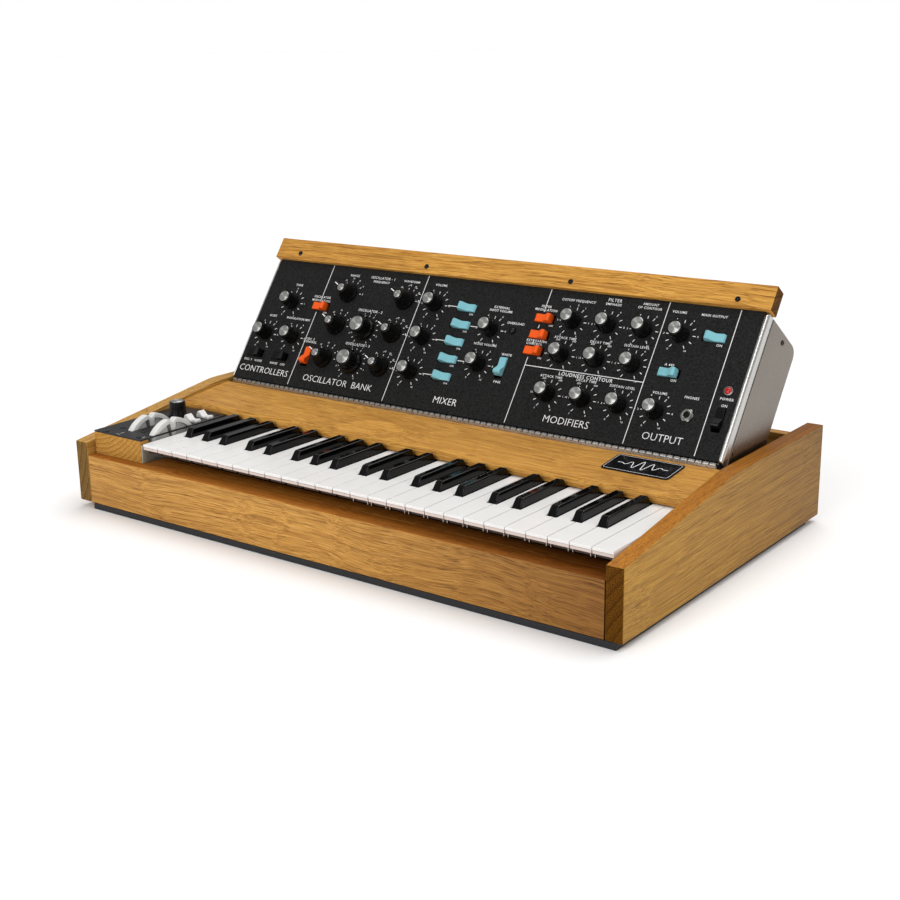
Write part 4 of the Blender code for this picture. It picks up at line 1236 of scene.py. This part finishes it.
for control, (x, u) in SELECTORS.items():
    make_knob("knob_" + control, f"knob_{control}_body", on_panel(x, u), POINTER, SELECTOR_REST)
for control, (x, u) in LARGE_KNOBS.items():
    make_knob("knob_" + control, f"knob_{control}_body", on_panel(x, u), LARGE)
for control, (x, u, clock) in SMALL_KNOBS.items():
    make_knob("knob_" + control, f"knob_{control}_body", on_panel(x, u), SMALL, -math.radians(clock))
make_knob("rate_knob", "rate", Matrix.Translation((RATE_KNOB[0], back(RATE_KNOB[1]), PLATE_TOP)), RATE)

# ---- rocker switches on the panel ----

ROCKERS_ACROSS = {
    "rocker_osc_modulation": (-0.2415, (0.1093,), ORANGE),
    "rocker_mod_source_left": (-0.3155, (0.0360,), KNOB_BLACK),
    "rocker_mod_source_right": (-0.2745, (0.0360,), KNOB_BLACK),
    "rockers_mixer": (-0.0262, (0.1315, 0.1095, 0.0875, 0.0655, 0.0435), BLUE),
    "rockers_filter": (0.0822, (0.1300, 0.1098, 0.0900), ORANGE),
    "rocker_main_output": (0.2895, (0.1322,), BLUE),
    "rocker_tuning_tone": (0.2520, (0.0868,), BLUE),
}
ROCKERS_UPRIGHT = {
    "rocker_osc3_control": (-0.2325, 0.0420, ORANGE),
    "rocker_noise_type": (0.0487, 0.0650, BLUE),
    "rocker_power": (0.3230, 0.0435, KNOB_BLACK),
}
PRESSED_RIGHT = ("rockers_mixer", "rocker_main_output")
SLOT_OF = {ORANGE: "rocker_orange", BLUE: "rocker_blue", KNOB_BLACK: "knob_black"}


def make_panel_rockers():
    for node, (x, rows, look) in ROCKERS_ACROSS.items():
        tilt = ROCKER_TILT if node in PRESSED_RIGHT else -ROCKER_TILT
        for number, u in enumerate(rows):
            name = f"{node}_{number + 1}" if len(rows) > 1 else node + "_cap"
            place = on_panel(x, u, ROCKER_PIVOT)
            make_rocker(name, node + "_body", node, look, SLOT_OF[look], place, tilt=tilt)
    for node, (x, u, look) in ROCKERS_UPRIGHT.items():
        place = on_panel(x, u, ROCKER_PIVOT) @ Matrix.Rotation(-QUARTER, 4, "Z")
        make_rocker(node + "_cap", node + "_body", node, look, SLOT_OF[look], place, tilt=-ROCKER_TILT)


make_panel_rockers()

# ---- panel body ----


def hinge_knuckles(bm, axis, first):
    """Every second knuckle of the piano hinge, from the first on, around an axis along X."""
    pitch = 2 * FACE_HALF / KNUCKLES
    for i in range(first, KNUCKLES, 2):
        start = -FACE_HALF + i * pitch
        add_prism(bm, circle(axis, KNUCKLE_RADIUS, 14), start + KNUCKLE_GAP, start + pitch - KNUCKLE_GAP)


def make_hinge():
    """A piano hinge with short knuckles that belong by turns to the cabinet and to the panel."""
    axis = (back(HINGE[0]), HINGE[1])
    bm = bmesh.new()
    hinge_knuckles(bm, axis, 0)
    leaf = axis[0] - KNUCKLE_RADIUS
    add_box(bm, (-FACE_HALF, leaf, 0.0920), (FACE_HALF, leaf + 0.001, HINGE[1] - 0.0004))
    add_prism(bm, circle(axis, 0.0010, 8), -FACE_HALF + 0.001, FACE_HALF - 0.001)
    looks = {"slot": "hinge_steel"}
    piece("hinge_cabinet_side", bm, "cabinet", HINGE_STEEL, stands_for=["hinge_cabinet_leaf"], **looks)
    bm = bmesh.new()
    hinge_knuckles(bm, (HINGE_U, HINGE_H), 1)
    add_box(bm, (-FACE_HALF, -0.0013, -0.020), (FACE_HALF, -0.0003, HINGE_H - 0.0024))
    piece("hinge_panel_side", bm, "panel", HINGE_STEEL, PANEL, stands_for=["hinge_panel_leaf"], **looks)


def side_plate_outline():
    """The housing's side behind its front frame, as (u, h)."""
    inset = 0.0010
    radius = HOUSING_CORNER - inset
    top = HOUSING_HEIGHT - inset
    rear = -HOUSING_DEPTH + inset
    front = -FLANGE_DEPTH - 0.0004
    corner = arc((top - radius, rear + radius), radius, -90, 0, 8)
    return [(inset, front), (inset, rear), *corner, (top, front)]


def make_housing():
    refined("panel_housing", FRAME_METAL, "housing_aluminium")
    outside = HOUSING_HALF + SIDE_PLATE_THICK
    # The side plates carry the darker copy of the aluminium: painted shade with a warm painted reflection.
    for side, name in ((-1, "housing_side_left"), (1, "housing_side_right")):
        bm = bmesh.new()
        faces = sorted((side * HOUSING_HALF, side * outside))
        add_prism(bm, side_plate_outline(), *faces)
        piece(name, bm, "panel", HOUSING_SIDE_PAINTED_SHADE, PANEL, slot="housing_aluminium", bevel=0.00025)
    bm = bmesh.new()
    for side in (-1, 1):
        turn = Matrix.Rotation(side * QUARTER, 4, "Y")
        for u, depth, radius in SIDE_SCREWS:
            add_screw(bm, Matrix.Translation((side * outside, u, -depth)) @ turn, radius)
    piece("housing_side_screws", bm, "panel", SCREW_LOOKS, PANEL)


def make_rail_screws():
    bm = bmesh.new()
    for x in RAIL_SCREWS_X:
        add_screw(bm, Matrix.Translation((x, 0.1760, TOP_RAIL_PROUD)), 0.0031)
    piece("top_rail_screws", bm, "panel", SCREW_LOOKS, PANEL)


def set_material(node, look):
    mesh = frame["nodes"][node].data
    mesh.materials.clear()
    mesh.materials.append(look)


make_hinge()
make_housing()
make_rail_screws()
set_material("panel_face", PANEL_PAINT)
set_material("circuit_board", circuit_laminate())

# ---- printing on the panel ----

PRINT_LOW = -0.00002
PRINT_HIGH = 0.00007
STROKE = 0.0008
NUMBER_CAP = 0.0021  # height of a capital letter
ON_CAP = 0.0023
SMALL_CAP = 0.0029
HEADING_CAP = 0.0033
TITLE_CAP = 0.0086
CAP_OF_SIZE = 0.72  # a capital's share of the font size


def print_text(bm, words, x, u, cap=SMALL_CAP, weight=0.012, spacing=1.14):
    """Adds words in thin raised ink, centred on x and u. weight thickens the strokes."""
    curve = bpy.data.curves.new("words", "FONT")
    curve.body = words
    curve.size = cap / CAP_OF_SIZE
    curve.align_x = "CENTER"
    curve.resolution_u = 2
    curve.extrude = (PRINT_HIGH - PRINT_LOW) / 2
    curve.space_character = spacing
    curve.offset = cap * weight
    obj = bpy.data.objects.new("words", curve)
    bpy.context.scene.collection.objects.link(obj)
    graph = bpy.context.evaluated_depsgraph_get()
    mesh = bpy.data.meshes.new_from_object(obj.evaluated_get(graph))
    start = len(bm.verts)
    bm.from_mesh(mesh)
    lift = (PRINT_HIGH + PRINT_LOW) / 2
    moved(bm, start, Matrix.Translation((x, u - cap / 2, lift)))
    bpy.data.objects.remove(obj)
    bpy.data.curves.remove(curve)
    bpy.data.meshes.remove(mesh)


def print_line(bm, points, width=STROKE):
    """Adds a line of ink through the points, one closed bar for each stretch."""
    for (ax, ay), (bx, by) in zip(points, points[1:]):
        length = math.hypot(bx - ax, by - ay)
        nx, ny = -(by - ay) / length * width / 2, (bx - ax) / length * width / 2
        outline = [(ax - nx, ay - ny), (bx - nx, by - ny), (bx + nx, by + ny), (ax + nx, ay + ny)]
        add_prism(bm, outline, PRINT_LOW, PRINT_HIGH, "Z")


def clock_point(centre, degrees, radius):
    """A point this far round clockwise from twelve o'clock."""
    turn = math.radians(degrees)
    return (centre[0] + radius * math.sin(turn), centre[1] + radius * math.cos(turn))


def print_dial(bm, centre, marks, inner=0.0138, outer=0.0172, start=-150, end=150, numbers_at=0.0196):
    """Adds a tick for each mark, and the mark itself where it isn't blank."""
    for i, mark in enumerate(marks):
        degrees = start + (end - start) * i / (len(marks) - 1)
        print_line(bm, [clock_point(centre, degrees, inner), clock_point(centre, degrees, outer)])
        if mark:
            x, u = clock_point(centre, degrees, numbers_at + 0.0004 * len(mark))
            print_text(bm, mark, x, u, NUMBER_CAP)


LEVELS = ["0", "", "2", "", "4", "", "6", "", "8", "", "10"]
CUTOFF_MARKS = ["5", "", "3", "", "1", "0", "1", "", "3", "", "5"]
TUNE_MARKS = ["2", "", "1", "", "", "0", "", "", "1", "", "2"]
DETUNE_MARKS = ["7", "", "5", "", "3", "", "1", "0", "1", "", "3", "", "5", "", "7"]
TIME_MARKS = ["1", "", "10", "", "200", "", "600", "", "1", "", "5"]
RANGE_MARKS = ["LO", "32", "16", "8", "4", "2"]
SELECTOR_START, SELECTOR_END = -64, 86

# one cycle of each wave, from 0 to 1 across and -1 to 1 up
WAVES = [
    [(0.0, -1), (0.5, 1), (1.0, -1)],
    [(0.0, -1), (0.35, 1), (0.45, -0.2), (1.0, -1)],
    [(0.0, -1), (1.0, 1), (1.0, -1)],
    [(0.0, -1), (0.0, 1), (0.5, 1), (0.5, -1), (1.0, -1)],
    [(0.0, -1), (0.0, 1), (0.3, 1), (0.3, -1), (1.0, -1)],
    [(0.0, -1), (0.0, 1), (0.15, 1), (0.15, -1), (1.0, -1)],
]


def print_waves(bm, centre):
    for i, wave in enumerate(WAVES):
        degrees = SELECTOR_START + (SELECTOR_END - SELECTOR_START) * i / (len(WAVES) - 1)
        x, u = clock_point(centre, degrees, 0.0208)
        print_line(bm, [(x + (s - 0.5) * 0.0040, u + level * 0.0012) for s, level in wave], 0.00045)


SMALL_LABELS = [
    ("TUNE", -0.2888, 0.1345),
    ("GLIDE", -0.3115, 0.0890),
    ("MODULATION MIX", -0.2690, 0.0890),
    ("RANGE", -0.2066, 0.1560),
    ("FREQUENCY", -0.1625, 0.1513),
    ("WAVEFORM", -0.1175, 0.1564),
    ("VOLUME", -0.0732, 0.1563),
    ("OSCILLATOR", -0.2444, 0.1223),
    ("MODULATION", -0.2444, 0.1175),
    ("OSC. 3", -0.2370, 0.0650),
    ("CONTROL", -0.2357, 0.0612),
    ("EXTERNAL", 0.0215, 0.1372),
    ("INPUT VOLUME", 0.0215, 0.1330),
    ("NOISE VOLUME", 0.0170, 0.0897),
    ("OVERLOAD", 0.0471, 0.1199),
    ("WHITE", 0.0500, 0.0810),
    ("PINK", 0.0500, 0.0475),
    ("CUTOFF FREQUENCY", 0.1168, 0.1562),
    ("EMPHASIS", 0.1612, 0.1566),
    ("AMOUNT", 0.2057, 0.1615),
    ("OF CONTOUR", 0.2057, 0.1570),
    ("FILTER", 0.0790, 0.1450),
    ("MODULATION", 0.0800, 0.1408),
    ("KEYBOARD", 0.0800, 0.1026),
    ("CONTROL", 0.0800, 0.0988),
    ("ATTACK TIME", 0.1165, 0.1103),
    ("DECAY TIME", 0.1610, 0.1103),
    ("SUSTAIN LEVEL", 0.2057, 0.1113),
    ("ATTACK TIME", 0.1162, 0.0634),
    ("DECAY TIME", 0.1604, 0.0643),
    ("SUSTAIN LEVEL", 0.2050, 0.0636),
    ("VOLUME", 0.2415, 0.1565),
    ("MAIN OUTPUT", 0.2820, 0.1565),
    ("ON", 0.2977, 0.1242),
    ("ON", 0.2600, 0.0790),
    ("A 440", 0.2500, 0.0958),
    ("VOLUME", 0.2498, 0.0632),
    ("PHONES", 0.2868, 0.0631),
    ("POWER", 0.3246, 0.0672),
    ("ON", 0.3242, 0.0598),
    ("OSC. 3   NOISE", -0.3155, 0.0262),
    ("NOISE   LFO", -0.2740, 0.0262),
]
HEADINGS = [
    ("OSCILLATOR - 1", -0.1620, 0.1566, HEADING_CAP),
    ("OSCILLATOR - 2", -0.1624, 0.1119, HEADING_CAP),
    ("OSCILLATOR - 3", -0.1618, 0.0666, HEADING_CAP),
    ("FILTER", 0.1614, 0.1617, HEADING_CAP * 1.15),
    ("LOUDNESS CONTOUR", 0.1575, 0.0684, HEADING_CAP * 1.3),
]
TITLES = [
    ("CONTROLLERS", -0.2915),
    ("OSCILLATOR  BANK", -0.1710),
    ("MIXER", -0.0088),
    ("MODIFIERS", 0.1525),
    ("OUTPUT", 0.2688),
]
TITLE_U = 0.0150
MODIFIERS_SPLIT = 0.0722
ON_DROP = 0.0075
DIVIDERS = (-0.2450, -0.0956, 0.0779, 0.2271, 0.3096)


def divider_stretches(x):
    """The heights between which a dividing line runs, broken behind the switches that sit on it."""
    gaps = []
    for centre, rows, _ in ROCKERS_ACROSS.values():
        if abs(centre - x) < ROCKER_HALF + 0.002:
            gaps += [(u - 0.008, u + 0.008) for u in rows]
    edges = [0.0020]
    for low, high in sorted(gaps):
        edges += [low, high]
    edges.append(FACE_TOP - 0.0008)
    return [(low, high) for low, high in zip(edges[::2], edges[1::2]) if high > low]


def print_labels(bm):
    for words, x, u in SMALL_LABELS:
        print_text(bm, words, x, u)
    for words, x, u, cap in HEADINGS:
        print_text(bm, words, x, u, cap)
    for words, x in TITLES:
        print_text(bm, words, x, TITLE_U, TITLE_CAP, -0.016, 1.0)
    for x in DIVIDERS:
        for low, high in divider_stretches(x):
            print_line(bm, [(x, low), (x, high)])
    print_line(bm, [(DIVIDERS[2], MODIFIERS_SPLIT), (DIVIDERS[3], MODIFIERS_SPLIT)])


def print_dials(bm):
    for control, (x, u) in SELECTORS.items():
        if control.endswith("range"):
            print_dial(bm, (x, u), RANGE_MARKS, 0.0160, 0.0180, SELECTOR_START, SELECTOR_END, 0.0206)
        else:
            print_dial(bm, (x, u), [""] * len(WAVES), 0.0150, 0.0170, SELECTOR_START, SELECTOR_END)
            print_waves(bm, (x, u))
    for x, u in LARGE_KNOBS.values():
        print_dial(bm, (x, u), DETUNE_MARKS, 0.0172, 0.0195, numbers_at=0.0218)
    special = {"tune": TUNE_MARKS, "cutoff": CUTOFF_MARKS}
    for control, (x, u, _) in SMALL_KNOBS.items():
        usual = TIME_MARKS if control.endswith(("attack", "decay")) else LEVELS
        print_dial(bm, (x, u), special.get(control, usual))


def print_switches(bm):
    """The lines from the mixer's switches to their knobs, and the word beside each switch."""
    switch_x, rows, _ = ROCKERS_ACROSS["rockers_mixer"]
    for number, u in enumerate(rows):
        if number % 2:
            ends = (switch_x + 0.0142, SOURCE_KNOB_X - 0.0185)
        else:
            ends = (switch_x - 0.0142, MIXER_KNOB_X + 0.0185)
        print_line(bm, [(x, u) for x in ends])
        print_text(bm, "ON", switch_x + 0.0090, u - ON_DROP, ON_CAP)
    for node in ("rockers_filter", "rocker_osc_modulation"):
        x, rows, _ = ROCKERS_ACROSS[node]
        for u in rows:
            print_text(bm, "ON", x + 0.0105, u - ON_DROP, ON_CAP)


for layer, print_layer in (("labels", print_labels), ("dials", print_dials), ("switches", print_switches)):
    mesh_of_ink = bmesh.new()
    print_layer(mesh_of_ink)
    piece("panel_print_" + layer, mesh_of_ink, "panel", INK, PANEL)

# ---- jack, lamps and nameplate ----


def make_jack():
    """A quarter-inch jack: hexagonal nut, threaded bush and a dark bore."""
    nut_flat = 0.0066
    nut_top = 0.0021

    def nut(angle, radius, height):
        if height > nut_top or radius < 0.0060:
            return radius
        sector = (angle % (math.tau / 6)) - math.pi / 6
        return min(radius, nut_flat / math.cos(sector))

    profile = [(0.0054, 0.0), (0.0076, 0.0), (0.0076, 0.0014), (0.0073, 0.0018), (0.0066, nut_top)]
    profile += [(0.0056, nut_top), (0.0055, 0.0032), (0.0051, 0.0035), (0.0040, 0.0035), (0.0037, 0.0032)]
    profile += [(0.0037, -0.0100), (0.0054, -0.0100), (0.0054, 0.0)]
    lathe_piece("phones_jack_bush", profile, 48, STEEL, on_panel(*JACK), nut, sharp=25)
    bore = [(0, -0.0080), (0.00365, -0.0080), (0.00365, -0.0005), (0.0031, -0.0005)]
    bore += [(0.0031, -0.0070), (0, -0.0070)]
    lathe_piece("phones_jack_bore", bore, 24, GLOSS_BLACK, on_panel(*JACK))


def make_lamp(name, place, radius, ring, lens):
    """A domed lens in a ring that stands a little off the panel."""
    rim = radius * 1.28
    inside = radius * 0.96
    profile = [(inside, -0.0010), (rim, -0.0010), (rim, 0.0008), (rim * 0.95, 0.0013), (radius, 0.0014)]
    profile += [(inside, 0.0010), (inside, -0.0010)]
    lathe_piece(name + "_ring", profile, 40, ring, on_panel(*place))
    wide, rise = radius * 0.95, radius * 0.62
    dome = [(0, -0.0008), (wide, -0.0008)]
    dome += [(wide * math.cos(t), 0.0008 + rise * math.sin(t)) for t in (0, 0.3, 0.6, 0.9, 1.2)]
    dome.append((0, 0.0008 + rise))
    lathe_piece(name + "_lens", dome, 32, lens, on_panel(*place))


def make_lamps():
    """A red jewel above the power switch, and a dark one, unlit, for overload."""
    make_lamp("power_lamp", POWER_LAMP, 0.0040, STEEL, red_lens())
    make_lamp("overload_lamp", OVERLOAD_LAMP, 0.0036, KNOB_BLACK, GLOSS_BLACK)


def deck_slope():
    """From flat coordinates to the sloping top of the deck: x, distance up the slope, height off it."""
    (front, front_z), (rear, rear_z) = DECK_ROUND_END, DECK_REAR_TOP
    slope = math.atan2(rear_z - front_z, rear - front)
    return Matrix.Translation((0, back(front), front_z)) @ Matrix.Rotation(slope, 4, "X")


def wave_points(left, right, middle, height, cycles, steps=72):
    """A sine wave that swells in the middle and dies away at both ends."""
    points = []
    for i in range(steps + 1):
        share = i / steps
        swell = math.sin(share * math.pi) ** 2
        rise = height * swell * math.sin(share * math.tau * cycles)
        points.append((left + (right - left) * share, middle + rise))
    return points


def make_nameplate():
    """A blank glossy badge, with a border and a sine wave in place of any name."""
    left, right, front, rear = NAMEPLATE
    low, high = front - DECK_ROUND_END[0], rear - DECK_ROUND_END[0]
    slope = deck_slope()
    bm = bmesh.new()
    add_prism(bm, rounded_rectangle(left, low, right, high, 0.004), -0.0002, 0.0013, "Z")
    piece("nameplate", bm, "cabinet", GLOSS_BLACK, slope, bevel=0.0003)
    margin, side = 0.002, 0.010
    edge = rounded_rectangle(left + margin, low + margin, right - margin, high - margin, 0.003)
    bm = bmesh.new()
    print_line(bm, edge + edge[:1], 0.0004)
    print_line(bm, wave_points(left + side, right - side, (low + high) / 2, 0.0105, 5), 0.0009)
    piece("nameplate_print", bm, "cabinet", INK, slope @ Matrix.Translation((0, 0, 0.00132)))


def make_plate_print():
    """A mark in front of each wheel, a cross stroke for the pitch wheel, and one by each side rocker."""
    bm = bmesh.new()
    for x in (PITCH_WHEEL_X, MOD_WHEEL_X):
        print_line(bm, [(x, back(0.0200)), (x, back(0.0255))], 0.0007)
    across = back(0.0165)
    print_line(bm, [(PITCH_WHEEL_X - 0.003, across), (PITCH_WHEEL_X + 0.003, across)], 0.0005)
    start, end = SIDE_ROCKER_X + 0.0125, SIDE_ROCKER_X + 0.0145
    for distance in SIDE_ROCKERS_BACK:
        print_line(bm, [(start, back(distance)), (end, back(distance))], 0.0005)
    piece("wheel_plate_print", bm, "cabinet", INK, Matrix.Translation((0, 0, PLATE_TOP)))


make_jack()
make_lamps()
make_nameplate()
make_plate_print()
